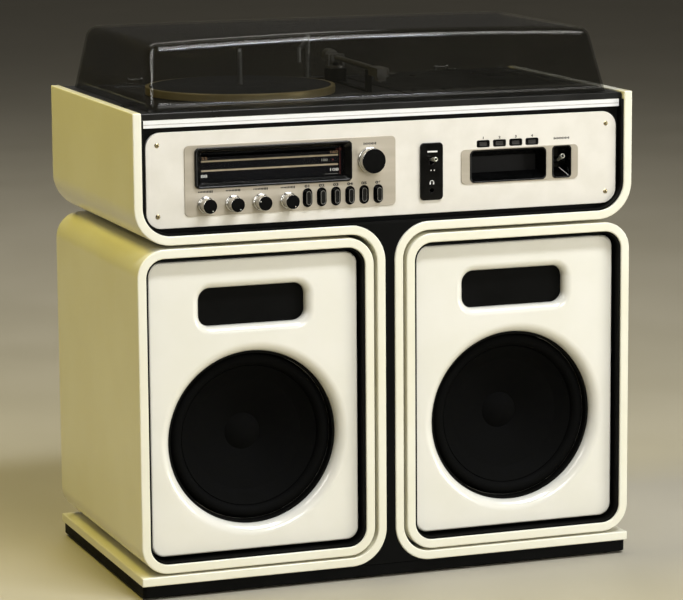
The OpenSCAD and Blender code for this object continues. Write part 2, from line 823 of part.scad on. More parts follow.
module program_lever() color(steel) place() translate([well_x, prog_y, well_z]) rotate([-prog_turn, 0, 0]) {
    bar_x(-well_in / 2 + gap, well_in / 2 - gap, prog_r);
    bar_x(-well_in / 2 - 2, well_in / 2 + 2, pin_r);
    difference() {
        union() {
            bar_y(-prog_l + 4.5, 0, prog_stem_r);
            bar_y(-prog_l, -prog_l + prog_tip_l, prog_tip_r);
        }
        bar_y(-prog_l - far, -prog_l + 4.5, prog_stem_r + 0.1);
    }
}

module program_lamps() color(dark) place() for (i = [0:3])
    translate([lamp_x + i * lamp_pitch, 0, lamp_z]) difference() {
        slab(face_y - lamp_out, face_back) soft(lamp_w, lamp_h, lamp_r);
        slab(face_y - lamp_out - far, face_y + lens_in) soft(lens_w, lens_h, 1);
    }

// Amplifier tray with its transformer, the fins of the heat sink and two tall capacitors
module amplifier_chassis() color(steel) place() translate([amp_x, amp_y, floor_z]) {
    difference() {
        cube([amp_w, amp_d, amp_lip]);
        translate([sheet, sheet, sheet]) cube([amp_w - 2 * sheet, amp_d - 2 * sheet, amp_lip]);
    }
    translate([core_w / 4, amp_d - core_d * 1.5, eps]) cube([core_w, core_d, core_h]);
    for (i = [0:fins - 1]) translate([amp_w * 0.42 + i * fin_pitch, amp_d - fin_d * 1.2, eps])
        cube([fin_t, fin_d, fin_h]);
    for (i = [0, 1]) translate([amp_w * 0.75 + i * can_r * 2.4, amp_d * 0.3, eps])
        cylinder(r = can_r, h = can_h);
}

// Back of the unit: two speaker sockets and the hole of the cord gland
module rear_panel() color(dark) place() difference() {
    slab(rear_y, rear_y + rear_t)
        tub(wall_in - wall_sheet - nest, floor_z, board_z - nest, case_r - wall_sheet + nest);
    for (s = [-1, 1]) translate([s * socket_x, 0, face_z + 40]) bar_y(rear_y - far, case_back, socket_r);
    translate([gland_x, 0, face_z + 30]) bar_y(rear_y - far, case_back, gland_r);
}

// Bright strip above the faceplate with one fine groove along it
module trim_strip() color(steel) place() translate([0, face_back - trim_t, trim_z]) difference() {
    translate([-wall_in + trim_end, 0, 0]) cube([2 * (wall_in - trim_end), trim_t, trim_h]);
    translate([-wall_in, -far, trim_h / 2 - trim_groove / 2]) cube([2 * wall_in, far + 0.4, trim_groove]);
}

// Board that carries the changer and closes the top of the unit
module motor_board() color(black) place() difference() {
    translate([-wall_in + 0.5, 8, board_z]) cube([2 * wall_in - 1, stand_d - 10, board_t]);
    translate([deck_x, deck_y, deck_top - deck_t]) cube([deck_w, deck_d, board_t]);
    translate([deck_x + deck_lip, deck_y + deck_lip, board_z - far])
        cube([deck_w - 2 * deck_lip, deck_d - 2 * deck_lip, board_t + 2 * far]);
}

module deck_plate() color(dark) place() difference() {
    translate([deck_x + deck_w / 2, deck_y + deck_d / 2, deck_top - deck_t])
        linear_extrude(height = deck_t) soft(deck_w - 2 * nest, deck_d - 2 * nest, 10);
    translate([hub_x, hub_y, deck_top - deck_t - far]) cylinder(r = hub_r + 0.5, h = deck_t + 2 * far);
}

// Pressed platter: rim, top and long hub, with a fine ring groove
module platter() color(steel) place() translate([hub_x, hub_y, platter_z]) rotate_extrude() {
    translate([platter_r - platter_t, 0]) square([platter_t, platter_h]);
    translate([hub_r + run, platter_h - platter_t]) square([platter_r - hub_r - run, platter_t]);
    translate([hub_r + run, 0]) square([8, platter_h]);
}

// Fixed spindle: bearing part in the hub, thinner part for the records
module spindle() color(steel) place() translate([hub_x, hub_y, deck_top - deck_t]) {
    shank = platter_top + spindle_h - spindle_tip - deck_top + deck_t;
    translate([0, 0, -foot_h]) cylinder(r = foot_r, h = foot_h);
    translate([0, 0, -eps]) cylinder(r = hub_r, h = platter_top + spindle_base - deck_top + deck_t);
    cylinder(r = spindle_r, h = shank);
    translate([0, 0, shank - eps]) cylinder(r1 = spindle_r, r2 = spindle_tip_r, h = spindle_tip);
}

module changer_motor() color(dark) place()
    translate([deck_x + motor_x, deck_y + motor_y, deck_top - deck_t]) {
    translate([0, 0, -motor_h - post_h + 2]) cylinder(r = motor_r, h = motor_h);
    for (a = [0, 120, 240]) rotate([0, 0, a]) translate([motor_r - 6, 0, -post_h])
        cylinder(r = post_r, h = post_h);
}

// Arm base and rest: pedestal with the pivot pin, shelf and hook for the arm
module tonearm_base() color(dark) place() translate([arm_x, arm_y, 0]) {
    hook_z = tube_z - tube_r - gap;
    translate([0, 0, deck_top]) cylinder(r = base_r, h = yoke_z - gap - deck_top);
    translate([0, 0, yoke_z - 1]) cylinder(r = yoke_pin, h = pivot_h);
    rotate([0, 0, -arm_turn]) {
        translate([-rest_w / 2, -rest_at - 5, deck_top]) cube([rest_w, rest_at, sill_h]);
        translate([-rest_w / 2, -rest_at - 4, deck_top]) cube([rest_w, rest_w, hook_z - deck_top]);
        translate([tube_r + gap, -rest_at - 4, hook_z - rest_w]) cube([sill_h, rest_w, 2 * rest_w]);
        translate([0, -rest_at - 4, hook_z - rest_w]) cube([tube_r + gap + 1, rest_w, 2 * sill_h]);
    }
}

// Yoke that turns on the pedestal and holds the arm between its cheeks
module tonearm_gimbal() color(steel) place()
translate([arm_x, arm_y, 0]) rotate([0, 0, -arm_turn]) difference() {
    union() {
        translate([0, 0, yoke_z]) cylinder(r = yoke_r, h = yoke_t);
        for (x = [-cheek_x - cheek_t, cheek_x]) translate([x, -cheek_d / 2, yoke_z + yoke_t / 2])
            cube([cheek_t, cheek_d, tube_z + 5 - yoke_z - yoke_t / 2]);
    }
    translate([0, 0, yoke_z - far]) cylinder(r = yoke_pin + run, h = 6);
    translate([0, 0, tube_z]) bar_x(-yoke_r, yoke_r, pin_r + run);
}

// Arm, counterweight and head; it lies along the arm line at rest
module tonearm() color(steel) place() translate([arm_x, arm_y, tube_z]) rotate([0, 0, -arm_turn]) {
    bar_x(-cheek_x - cheek_t + 0.5, cheek_x + cheek_t - 0.5, pin_r);
    translate([-block_w / 2, -8, -5]) cube([block_w, 16, 10]);
    bar_y(-arm_len + 30, weight_in + eps, tube_r);
    bar_y(weight_in, weight_in + weight_l, weight_r);
    difference() {
        translate([-head_w / 2, -arm_len - 6, 4 - head_h]) cube([head_w, head_l, head_h]);
        translate([-head_w / 2 + head_t, -arm_len - 6 + head_t, 4 - head_h - far])
            cube([head_w - 2 * head_t, head_l - 5 * head_t, head_h - 4 + far]);
    }
    translate([-6, -arm_len - 3, -1 - pickup_h]) cube([12, 20, pickup_h + 1 + eps]);
    translate([-0.8, -arm_len + 2, -3.5 - pickup_h]) cube([1.6, 1.6, 3]);
    translate([head_w / 2 - 2, -arm_len - 14, -4]) cube([9, 10, 1.5]);
    translate([head_w / 2 - 2, -arm_len - 8, -4]) cube([2, 6, 6]);
}

// Post with the arm that steadies a stack of records
module overarm() color(steel) place() translate([over_x, over_y, deck_top + gap]) {
    cylinder(r = over_post_r, h = over_z - deck_top);
    rotate([0, 0, over_turn]) {
        translate([0, 0, over_z - deck_top - over_post_r]) bar_y(-over_len, 0, over_r);
        translate([0, -over_len, over_z - deck_top - over_tip_l]) cylinder(r = over_tip_r, h = over_tip_l);
    }
}

// Outer or inner skin of the cover; in is the wall to take off, low is how far it drops
module lid_skin(in, low) hull() {
    for (s = [-1, 1], y = [lid_front + lid_r, lid_back - lid_r])
        translate([s * (lid_hw - lid_r), y, lid_z - low]) cylinder(r = lid_r - in, h = 1, $fn = 40);
    for (s = [-1, -0.5, 0, 0.5, 1])
        translate([s * lid_core_x, lid_front + lid_in_f, lid_core_z + lid_crown * (1 - s * s)])
            sphere(r = lid_round - in, $fn = 32);
    for (s = [-1, 0, 1])
        translate([s * lid_core_x, lid_back - lid_in_b, lid_core_z + lid_rise + (1 - s * s)])
            sphere(r = lid_round - in, $fn = 32);
}

module lid() color([0.35, 0.35, 0.33, 0.4]) place() difference() {
    union() {
        difference() {
            lid_skin(0, 0);
            lid_skin(lid_t, far);
        }
        for (s = [-1, 1]) translate([s * hinge_x, hinge_y, hinge_z]) {
            bar_x(-hinge_w / 2, hinge_w / 2, hinge_r);
            translate([-hinge_w / 2, -8.5, -hinge_r]) cube([hinge_w, 8.5, hinge_r]);
        }
    }
    for (s = [-1, 1]) translate([s * hinge_x, hinge_y, hinge_z]) bar_x(-hinge_w, hinge_w, hinge_pin + run);
}

module lid_hinges() color(steel) place() for (s = [-1, 1]) translate([s * hinge_x, hinge_y, 0]) {
    for (t = [-1, 1]) translate([t * (hinge_w / 2 + gap + 1.5), 0, 0]) {
        translate([-1.5, -4, board_top]) cube([3, 8, hinge_z - board_top]);
        translate([0, 0, hinge_z]) bar_x(-1.5, 1.5, 4);
        translate([t > 0 ? 0 : -9, -4, board_top]) cube([9, 8, 2]);
    }
    translate([0, 0, hinge_z]) bar_x(-hinge_w / 2 - gap - 2, hinge_w / 2 + gap + 2, hinge_pin);
}

shell_left();
shell_right();
centre_spine();
base_plinth();
base_glides();
left_cabinet();
left_liner();
left_baffle();
left_woofer_chassis();
left_woofer_cone();
left_back_panel();
right_cabinet();
right_liner();
right_baffle();
right_woofer_chassis();
right_woofer_cone();
right_back_panel();
unit_case();
front_bulkhead();
faceplate();
face_screws();
tuner_plate();
dial_bezel();
dial_scale();
dial_glass();
dial_pointer();
tuning_knob();
volume_knob();
balance_knob();
treble_knob();
bass_knob();
button_phono();
button_am();
button_fm();
button_stereo();
button_tape();
button_afc();
button_bezels();
power_plate();
power_lever();
tape_plate();
tape_bezel();
tape_door();
tape_transport();
program_lever();
program_lamps();
amplifier_chassis();
rear_panel();
trim_strip();
motor_board();
deck_plate();
platter();
spindle();
changer_motor();
tonearm_base();
tonearm_gimbal();
tonearm();
overarm();
lid();
lid_hinges();
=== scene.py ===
import math

import bmesh
import bpy
import numpy as np
from mathutils import Matrix, Vector, geometry


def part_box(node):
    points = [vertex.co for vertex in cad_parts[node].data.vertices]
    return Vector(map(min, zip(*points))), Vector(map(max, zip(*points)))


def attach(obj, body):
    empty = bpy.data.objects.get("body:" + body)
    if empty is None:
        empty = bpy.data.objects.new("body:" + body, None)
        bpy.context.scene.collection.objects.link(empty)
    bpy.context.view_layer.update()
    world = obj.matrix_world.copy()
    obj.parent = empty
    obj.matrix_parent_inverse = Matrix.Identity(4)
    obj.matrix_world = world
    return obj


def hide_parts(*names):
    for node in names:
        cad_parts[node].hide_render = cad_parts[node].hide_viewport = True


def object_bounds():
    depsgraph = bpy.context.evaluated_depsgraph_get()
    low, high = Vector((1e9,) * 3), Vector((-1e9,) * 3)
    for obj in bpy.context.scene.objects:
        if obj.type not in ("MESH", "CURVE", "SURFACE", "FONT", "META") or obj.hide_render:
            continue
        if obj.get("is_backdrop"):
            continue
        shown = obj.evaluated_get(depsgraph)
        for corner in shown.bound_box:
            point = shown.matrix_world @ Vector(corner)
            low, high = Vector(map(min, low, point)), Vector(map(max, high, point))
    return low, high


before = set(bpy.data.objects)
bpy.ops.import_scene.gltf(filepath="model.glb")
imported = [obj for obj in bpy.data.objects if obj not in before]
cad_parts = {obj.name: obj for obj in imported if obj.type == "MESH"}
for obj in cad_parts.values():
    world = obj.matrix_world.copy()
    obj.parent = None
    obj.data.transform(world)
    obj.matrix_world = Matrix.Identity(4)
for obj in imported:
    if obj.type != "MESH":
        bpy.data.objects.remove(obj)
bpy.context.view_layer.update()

# The camera stands where the photographer stood: high, to the left, with a long lens.
# The angles and the place come from a fit of the shells' and the faceplate's corners.
def placed(name, data):
    """A new object in the scene with this mesh, lamp, camera or text."""
    made = bpy.data.objects.new(name, data)
    bpy.context.scene.collection.objects.link(made)
    return made


photo_w = 683
focal_px = 3145.7
yaw, pitch, roll = 0.3527, 0.1685, -0.0072
forward = Vector((math.sin(yaw) * math.cos(pitch), math.cos(yaw) * math.cos(pitch), -math.sin(pitch)))
right = Vector((math.cos(yaw), -math.sin(yaw), 0.0))
up = right.cross(forward)
level = math.cos(roll) * right + math.sin(roll) * up
upright = math.cos(roll) * up - math.sin(roll) * right
camera = placed("camera", bpy.data.cameras.new("camera"))
camera.matrix_world = Matrix.Translation((-1.60148, -4.35572, 1.16578)) @ Matrix(
    (level, upright, -forward)).transposed().to_4x4()
camera.data.sensor_fit = "HORIZONTAL"
camera.data.sensor_width = 36.0
camera.data.lens = camera.data.sensor_width * focal_px / photo_w
camera.data.clip_end = 50.0
bpy.context.scene.camera = camera


# Studio: a plain pale floor in soft light. The key is a wide box high in front, two more open the
# shade, and a yellow one over the left warms that side. The cards light nothing: gloss and metal
# only mirror them, as the lines along the cover and the arcs on the knobs.
def rgb(code):
    """Linear colour of an sRGB hex value: c / 12.92 up to 0.04045, else ((c + 0.055) / 1.055) ^ 2.4."""
    c = np.array([int(code[i:i + 2], 16) / 255 for i in (1, 3, 5)])
    return (*np.where(c > 0.04045, ((c + 0.055) / 1.055) ** 2.4, c / 12.92).tolist(), 1.0)


def add(mat, kind, inputs, **settings):
    """Adds a node; inputs pairs a socket's name or number with a value or with the output that feeds it."""
    made = mat.node_tree.nodes.new("ShaderNode" + kind)
    for name, value in settings.items():
        setattr(made, name, value)
    for socket, value in inputs.items():
        if isinstance(value, bpy.types.NodeSocket):
            mat.node_tree.links.new(value, made.inputs[socket])
        else:
            made.inputs[socket].default_value = value
    return made


def finish_of(name, tones, patch, rough, drift=0.08, grain=1.0, relief=0.01, stretch=(1, 1, 1), **shader):
    """A material on Object coordinates p in mm: colour = mix(tones, noise(p / patch)),
    roughness = rough + drift * (noise(p / patch) - 1/2), height = relief * noise(p / grain)."""
    mat = bpy.data.materials.new(name)
    mat.use_nodes = True
    mat.node_tree.nodes.clear()
    place = add(mat, "TexCoord", {}).outputs["Object"]
    spread = add(mat, "Mapping", {"Vector": place, "Scale": stretch}).outputs[0]
    broad = add(mat, "TexNoise", {"Vector": spread, "Scale": 1000 / patch, "Detail": 4.0}).outputs[0]
    fine = add(mat, "TexNoise", {"Vector": spread, "Scale": 1000 / grain, "Detail": 3.0}).outputs[0]
    span = add(mat, "MapRange", {0: broad, 1: 0.3, 2: 0.7, 3: 0.0, 4: 1.0},
               interpolation_type="SMOOTHSTEP").outputs[0]
    tone = add(mat, "Mix", {0: span, 6: rgb(tones[0]), 7: rgb(tones[1])}, data_type="RGBA").outputs[2]
    gloss = add(mat, "MapRange", {0: span, 1: 0.0, 2: 1.0, 3: rough - drift / 2, 4: rough + drift / 2})
    bump = add(mat, "Bump", {"Height": fine, "Distance": relief / 1000, "Strength": 1.0})
    bsdf = add(mat, "BsdfPrincipled", {
        "Base Color": tone, "Roughness": gloss.outputs[0], "Normal": bump.outputs[0],
        **{key.replace("_", " "): value for key, value in shader.items()}})
    add(mat, "OutputMaterial", {"Surface": bsdf.outputs[0]})
    return mat


def soft_box(name, place, aim, size, watts, colour, lit=True, mirrored=True):
    """An area light of the given width and height that faces the aim point; lit switches its wash over
    matt surfaces and mirrored its image in glossy ones."""
    lamp = bpy.data.lights.new(name, "AREA")
    lamp.shape = "RECTANGLE"
    lamp.size, lamp.size_y = size
    lamp.energy = watts
    lamp.color = rgb(colour)[:3]
    box = placed(name, lamp)
    box.location = place
    box.rotation_euler = (Vector(aim) - Vector(place)).to_track_quat("-Z", "Y").to_euler()
    box.visible_diffuse, box.visible_glossy = lit, mirrored


middle = (0.0, 0.0, 0.35)
soft_box("key_box", (0.7, -2.1, 3.75), middle, (1.7, 0.4), 120, "#F3F7FF")
soft_box("right_fill", (3.5, -2.8, 0.5), middle, (1.8, 1.8), 86, "#FFFFFA")
soft_box("front_fill", (0.1, -3.6, 2.0), middle, (1.2, 1.2), 50, "#FFFEF8")
soft_box("left_fill", (-1.25, 0.1, 2.2), (-0.38, 0.0, 0.45), (0.5, 0.5), 23, "#FFEC6A", mirrored=False)
soft_box("left_card", (-2.4, -0.5, 2.4), (-0.3, 0.0, 0.65), (0.9, 2.0), 60, "#FFFDF6", lit=False)
soft_box("ceiling_card", (1.0, -1.0, 3.4), (1.0, -1.0, 0.0), (2.4, 1.1), 95, "#FFFDF6", lit=False)
soft_box("room_card", (1.4, -3.6, 2.1), (0.0, 0.0, 0.7), (2.5, 1.0), 8, "#FFF8E4", lit=False)
soft_box("floor_box", (0.0, 3.0, 3.4), (0.0, 1.6, 0.0), (3.0, 1.5), 45, "#FFFAF2")
sky = bpy.data.worlds.new("studio_walls")
sky.use_nodes = True
sky_light = sky.node_tree.nodes["Background"].inputs
sky_light["Color"].default_value = rgb("#E9E4DA")
sky_light["Strength"].default_value = 0.07
bpy.context.scene.world = sky
# The photograph keeps its whites, so its colours are shown as they are
bpy.context.scene.view_settings.view_transform = "Standard"

floor_half = 24.0
floor_corners = [(x * floor_half, y * floor_half, 0) for x, y in ((-1, -1), (1, -1), (1, 1), (-1, 1))]
floor_mesh = bpy.data.meshes.new("studio_floor")
floor_mesh.from_pydata(floor_corners, [], [(0, 1, 2, 3)])
studio_floor = placed("studio_floor", floor_mesh)
# Painted concrete: matt and faintly cloudy
floor_mesh.materials.append(finish_of(
    "painted_concrete", ("#B5AE9A", "#BAB3A0"), patch=400, rough=0.55, grain=3, relief=0.05))
studio_floor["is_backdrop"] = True

# Stand: two S-shaped shells bent from plywood and sprayed with ivory lacquer. Each is one band as
# deep as the stand: outer wall, upper arm, spine wall and lower arm, with round bends.
low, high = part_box("shell_right")
base = np.array([0.0, low.y, low.z]) * 1000
half_w = high.x * 1000
depth = (high.y - low.y) * 1000
wall_top = (high.z - low.z) * 1000
arm_top = 499.0
arm_end = 2.5
spine_half = 7.0
shell_t = 13.0
bend = 54.0 - shell_t / 2


def metres(points):
    """Working millimetres (across, back from the shells' front, up from their underside) to the frame."""
    return (points + base) / 1000


def box_of(node):
    """Lowest and highest corner of a CAD node in working millimetres."""
    return [np.array(corner) * 1000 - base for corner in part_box(node)]


def outline(w, h, r, n=8):
    """Rounded rectangle of half sizes w, h: corner centre (+-(w - r), +-(h - r)) plus r (cos a, sin a)."""
    a = np.linspace(0, np.pi / 2, n + 1)[None] + np.arange(4)[:, None] * np.pi / 2
    x = (w - r) * np.array([1, -1, -1, 1])[:, None] + r * np.cos(a)
    z = (h - r) * np.array([1, 1, -1, -1])[:, None] + r * np.sin(a)
    return np.stack([x, z], -1).reshape(-1, 2)


def solid(name, points, faces, sharp=40):
    """A mesh object from points in working mm: doubles are merged, faces turned outward, and corners
    over sharp degrees kept."""
    mesh = bpy.data.meshes.new(name)
    mesh.from_pydata(metres(points).tolist(), [], faces)
    work = bmesh.new()
    work.from_mesh(mesh)
    bmesh.ops.remove_doubles(work, verts=work.verts, dist=2e-6)
    bmesh.ops.delete(work, geom=[e for e in work.edges if not e.link_faces], context="EDGES")
    bmesh.ops.recalc_face_normals(work, faces=work.faces)
    work.to_mesh(mesh)
    work.free()
    mesh.shade_smooth()
    mesh.set_sharp_from_angle(angle=math.radians(sharp))
    piece = placed(name, mesh)
    piece.modifiers.new("even_normals", "WEIGHTED_NORMAL").keep_sharp = True
    return piece


def grid_faces(rows, cols, along, caps):
    """Quads (i, j), (i, j+1), (i+1, j+1), (i+1, j); j wraps round, i too when along; caps close the ends."""
    ids = np.arange(rows * cols).reshape(rows, cols)
    here = ids if along else ids[:-1]
    there = np.roll(ids, -1, 0) if along else ids[1:]
    quads = np.stack([here, np.roll(here, -1, 1), np.roll(there, -1, 1), there], -1).reshape(-1, 4).tolist()
    return quads + ([ids[0][::-1].tolist(), ids[-1].tolist()] if caps and not along else [])


def skin(name, grid, along=False, caps=True):
    """Surface over the grid P(i, j) of rings; see grid_faces for how the rings join."""
    return solid(name, grid.reshape(-1, 3), grid_faces(*grid.shape[:2], along, caps))


def arc(x, z, r, start, end, sign, n=18):
    """Path points c + r (cos a, sin a) with the wall's normal sign * (cos a, sin a), a from start to end."""
    a = np.radians(np.linspace(start, end, n + 1))
    c, s = np.cos(a), np.sin(a)
    return np.stack([x + r * c, z + r * s, sign * c, sign * s], -1)


def quarter(r, n):
    """Pairs r (1 - cos a), r (1 - sin a), with a rising to a right angle in n steps."""
    a = np.linspace(0, np.pi / 2, n + 1)
    return list(zip(r * (1 - np.cos(a)), r * (1 - np.sin(a))))


def band(name, path, t, y0, y1, soft, flip):
    """Wall carried along a path: P(i, j) = c_i + u_j n_i, y_j, with (u, y) on a rounded rectangle.
    The end rings shrink by soft (1 - sin a) and move in by soft (1 - cos a), which rounds the ends."""
    ends = []
    for end, step in ((0, 1), (-1, -1)):
        way = path[end + step, :2] - path[end, :2]
        way = way / np.linalg.norm(way)
        rows = [(np.r_[path[end, :2] + way * step_in, path[end, 2:]], shrink)
                for step_in, shrink in quarter(soft, 3)]
        ends.append(rows if end == 0 else rows[::-1])
    rows = ends[0] + [(p, 0.0) for p in path[1:-1]] + ends[1]
    grid = []
    for (x, z, nx, nz), shrink in rows:
        section = outline(t / 2 - shrink, (y1 - y0) / 2 - shrink, max(soft - shrink, 0.01), 4)
        grid.append(np.stack([x + nx * section[:, 0], (y0 + y1) / 2 + section[:, 1],
                              z + nz * section[:, 0]], -1))
    return skin(name, np.stack(grid) * (flip, 1, 1))


def fit(piece, mat, body, slot, *nodes):
    """Gives a piece its material and its body and hides the CAD nodes that it stands for; slot is not used.
    """
    piece.data.materials.append(mat)
    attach(piece, body)
    if nodes:
        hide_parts(*nodes)
    return piece


# Sprayed two-pack lacquer: an even ivory with a soft sheen and the faintest orange peel
ivory_lacquer = finish_of(
    "ivory_lacquer", ("#EAE6D0", "#EEEBD9"), patch=120, rough=0.3, drift=0.02, grain=4.0, relief=0.012,
    Coat_Weight=0.25, Coat_Roughness=0.12)
wall_x = half_w - shell_t / 2
inner_x = spine_half + shell_t / 2
arm_mid = arm_top - shell_t / 2
shell_path = np.concatenate([
    [[wall_x, wall_top, 1, 0]],
    arc(wall_x - bend, arm_mid + bend, bend, 0, -90, 1),
    arc(inner_x + bend, arm_mid - bend, bend, 90, 180, -1),
    arc(inner_x + bend, shell_t / 2 + bend, bend, 180, 270, -1),
    [[half_w - arm_end, shell_t / 2, 0, 1]]])
sides = (("left", -1), ("right", 1))
for side, flip in sides:
    shell = band("lacquered_shell_" + side, shell_path, shell_t, 0, depth, 2.0, flip)
    fit(shell, ivory_lacquer, "stand", "cream_shell", "shell_" + side)


# Spine and base: black-sprayed board between the shells and under them, sawn and eased at its edges,
# on four rubber glides
def carry(mat, *nodes):
    """Shows CAD nodes as they are, with this material."""
    for name in nodes:
        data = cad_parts[name].data
        data.materials.clear()
        data.materials.append(mat)


def softened(node, mat, edge, body, slot, turn=35):
    """A copy of a CAD node with its doubles merged and its flat faces joined; edges that turn more
    than turn degrees are rounded by edge mm."""
    work = bmesh.new()
    work.from_mesh(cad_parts[node].data)
    bmesh.ops.remove_doubles(work, verts=work.verts, dist=1e-6)
    bmesh.ops.dissolve_limit(work, angle_limit=math.radians(0.5), verts=work.verts, edges=work.edges)
    bmesh.ops.recalc_face_normals(work, faces=work.faces)
    mesh = bpy.data.meshes.new(node + "_eased")
    work.to_mesh(mesh)
    work.free()
    mesh.shade_smooth()
    mesh.set_sharp_from_angle(angle=math.radians(turn))
    piece = placed(node + "_eased", mesh)
    round_off = piece.modifiers.new("eased_edges", "BEVEL")
    round_off.width, round_off.segments = edge / 1000, 2
    round_off.limit_method, round_off.angle_limit = "ANGLE", math.radians(turn)
    piece.modifiers.new("even_normals", "WEIGHTED_NORMAL").keep_sharp = True
    return fit(piece, mat, body, slot, node)


# Black paint on board: satin, a little dusty, with a fine sprayed grain
black_board = finish_of(
    "black_sprayed_board", ("#060605", "#0A0A09"), patch=60, rough=0.6, drift=0.15, grain=0.8, relief=0.02,
    Specular_IOR_Level=0.05)
for board, edge in (("centre_spine", 0.8), ("base_plinth", 1.5)):
    softened(board, black_board, edge, "stand", "black_board")
# Moulded rubber: dark, dull
moulded_rubber = finish_of(
    "moulded_rubber", ("#141414", "#1B1B1A"), patch=8, rough=0.8, grain=0.4, relief=0.03)
softened("base_glides", moulded_rubber, 1.0, "stand", "rubber")


# Speaker cabinets: rounded tubes bent from board and lacquered like the shells, open at both ends,
# on two low runners each
def stack(name, x, z, rows, along=False, n=8):
    """P(i, j) = (x + u, d_i, z + v) with (u, v) on rounded rectangle i. Each row gives its half width,
    half height, corner radius and depth d."""
    return skin(name, rings(x, z, rows, n), along)


def rings(x, z, rows, n=8):
    """The grid of stack: one rounded rectangle for each row."""
    return np.stack([np.insert(outline(w, h, r, n), 1, d, 1) for w, h, r, d in rows]) + (x, 0, z)


def tube_rows(w, h, r, wall, y0, y1, soft):
    """Rows round the section of a wall: a rounded rectangle of half sizes wall / 2 and (y1 - y0) / 2."""
    section = outline(wall / 2, (y1 - y0) / 2, soft, 4)
    return [(w - wall / 2 + u, h - wall / 2 + u, r - wall / 2 + u, (y0 + y1) / 2 + v) for u, v in section]


def block_rows(w, h, y0, y1, soft, r=None):
    """Rows of a block with all its edges rounded by soft: inset soft (1 - sin a) at soft (1 - cos a)."""
    r = soft if r is None else r
    edge = [(w - inset, h - inset, max(r - inset, 0.01), depth_in) for depth_in, inset in quarter(soft, 3)]
    return [(*e[:3], y0 + e[3]) for e in edge] + [(*e[:3], y1 - e[3]) for e in edge[::-1]]


def unite(name, *pieces):
    """One object that holds the meshes of several, which are then gone."""
    work = bmesh.new()
    for piece in pieces:
        work.from_mesh(piece.data)
    mesh = bpy.data.meshes.new(name)
    work.to_mesh(mesh)
    work.free()
    joined = placed(name, mesh)
    joined.modifiers.new("even_normals", "WEIGHTED_NORMAL").keep_sharp = True
    for piece in pieces:
        bpy.data.objects.remove(piece)
    return joined


(x0, y0, z0), (x1, y1, cab_high) = box_of("right_cabinet")
cab_x, cab_w = (x0 + x1) / 2, (x1 - x0) / 2
cab_r, cab_t, cab_low = 40.0, 13.3, 16.3
cab_mid, cab_h = (cab_low + cab_high) / 2, (cab_high - cab_low) / 2
runner_w, runner_h, runner_y = 6.0, 1.8, 20.0
runner_x = cab_w - cab_r - 30
for side, flip in sides:
    tube = stack("cabinet_tube", flip * cab_x, cab_mid, tube_rows(cab_w, cab_h, cab_r, cab_t, 0, depth, 2.0),
                 along=True, n=14)
    feet = [stack("runner", flip * cab_x + s * runner_x, shell_t + runner_h,
                  block_rows(runner_w, runner_h, runner_y, depth - runner_y, 0.8)) for s in (-1, 1)]
    cabinet = unite(side + "_speaker_cabinet", tube, *feet)
    fit(cabinet, ivory_lacquer, side + "_speaker", "cream_cabinet", side + "_cabinet")

# Inside each cabinet: a black lining ring with the board that holds the driver, and a back panel,
# all sawn from flat sheet
carry(black_board, "left_liner", "right_liner")
# Hardboard: brown-black, dull, with pressed fibres
hardboard = finish_of(
    "pressed_hardboard", ("#1B1510", "#251D16"), patch=6, rough=0.75, grain=0.9, relief=0.05)
carry(hardboard, "left_back_panel", "right_back_panel", "rear_panel")


# Speaker fronts: one ivory moulding each, with its edge rolled back into the round opening and the
# slot
def pierced(name, walls):
    """A plate with holes. Each wall is a grid whose first ring lies in the front face and whose last ring
    lies in the back face, the outer wall first; both faces are the triangles that join those rings."""
    points, faces, start = [], [], 0
    for wall in walls:
        points.append(wall.reshape(-1, 3))
        faces += [[start + i for i in f] for f in grid_faces(*wall.shape[:2], False, False)]
        start += wall.shape[0] * wall.shape[1]
    for end in (0, -1):
        flat, loops = [], []
        for wall in walls:
            ring = wall[end][:, (0, 2)]
            ring = ring[np.linalg.norm(ring - np.roll(ring, 1, 0), axis=1) > 1e-4]
            loops.append(list(range(len(flat), len(flat) + len(ring))))
            flat += [Vector(p) for p in ring]
        found = geometry.delaunay_2d_cdt(flat, [], loops, 1, 1e-6)
        points.append(np.array([(p.x, walls[0][end][0, 1], p.y) for p in found[0]]))
        faces += [[start + i for i in f] for f, inside in zip(found[2], found[5]) if inside == [0]]
        start += len(found[0])
    return solid(name, np.concatenate(points), faces)


def flare_rows(w, h, r, flare, y0, y1, steps=10):
    """Rows of a hole whose front edge is rolled back: each size + flare (1 - sin a) at flare (1 - cos a)."""
    rows = [(w + out, h + out, r + out, y0 + depth_in) for depth_in, out in quarter(flare, steps)]
    return rows + ([(w, h, r, y1)] if y1 > y0 + flare else [])


(x0, y0, z0), (x1, y1, z1) = box_of("right_baffle")
front_w, front_h, front_z = (x1 - x0) / 2, (z1 - z0) / 2, (z0 + z1) / 2
ys = (y0, y1)
woofer_r = 126.0
woofer_z = z0 + woofer_r + 34.5
woofer_flare = y1 - y0 - 0.01
slot_w, slot_h, slot_r, slot_flare = 80.0, 27.5, 17.0, 12.0
slot_z = z1 - slot_h - 42.0
# Glossy ivory ABS, moulded: smoother and shinier than the lacquer, so the rolled edges glint
ivory_moulding = finish_of(
    "ivory_abs_moulding", ("#E6E3D6", "#EAE7DC"), patch=90, rough=0.2, drift=0.05, grain=6.0, relief=0.008,
    Coat_Weight=0.3, Coat_Roughness=0.06)
for side, flip in sides:
    baffle = pierced(side + "_speaker_front", [
        rings(flip * cab_x, front_z, block_rows(front_w, front_h, *ys, 3.0, 18.0), 10),
        rings(flip * cab_x, woofer_z, flare_rows(woofer_r, woofer_r, woofer_r, woofer_flare, *ys), 28),
        rings(flip * cab_x, slot_z, flare_rows(slot_w, slot_h, slot_r, slot_flare, *ys), 10)])
    fit(baffle, ivory_moulding, side + "_speaker", "cream_baffle", side + "_baffle")


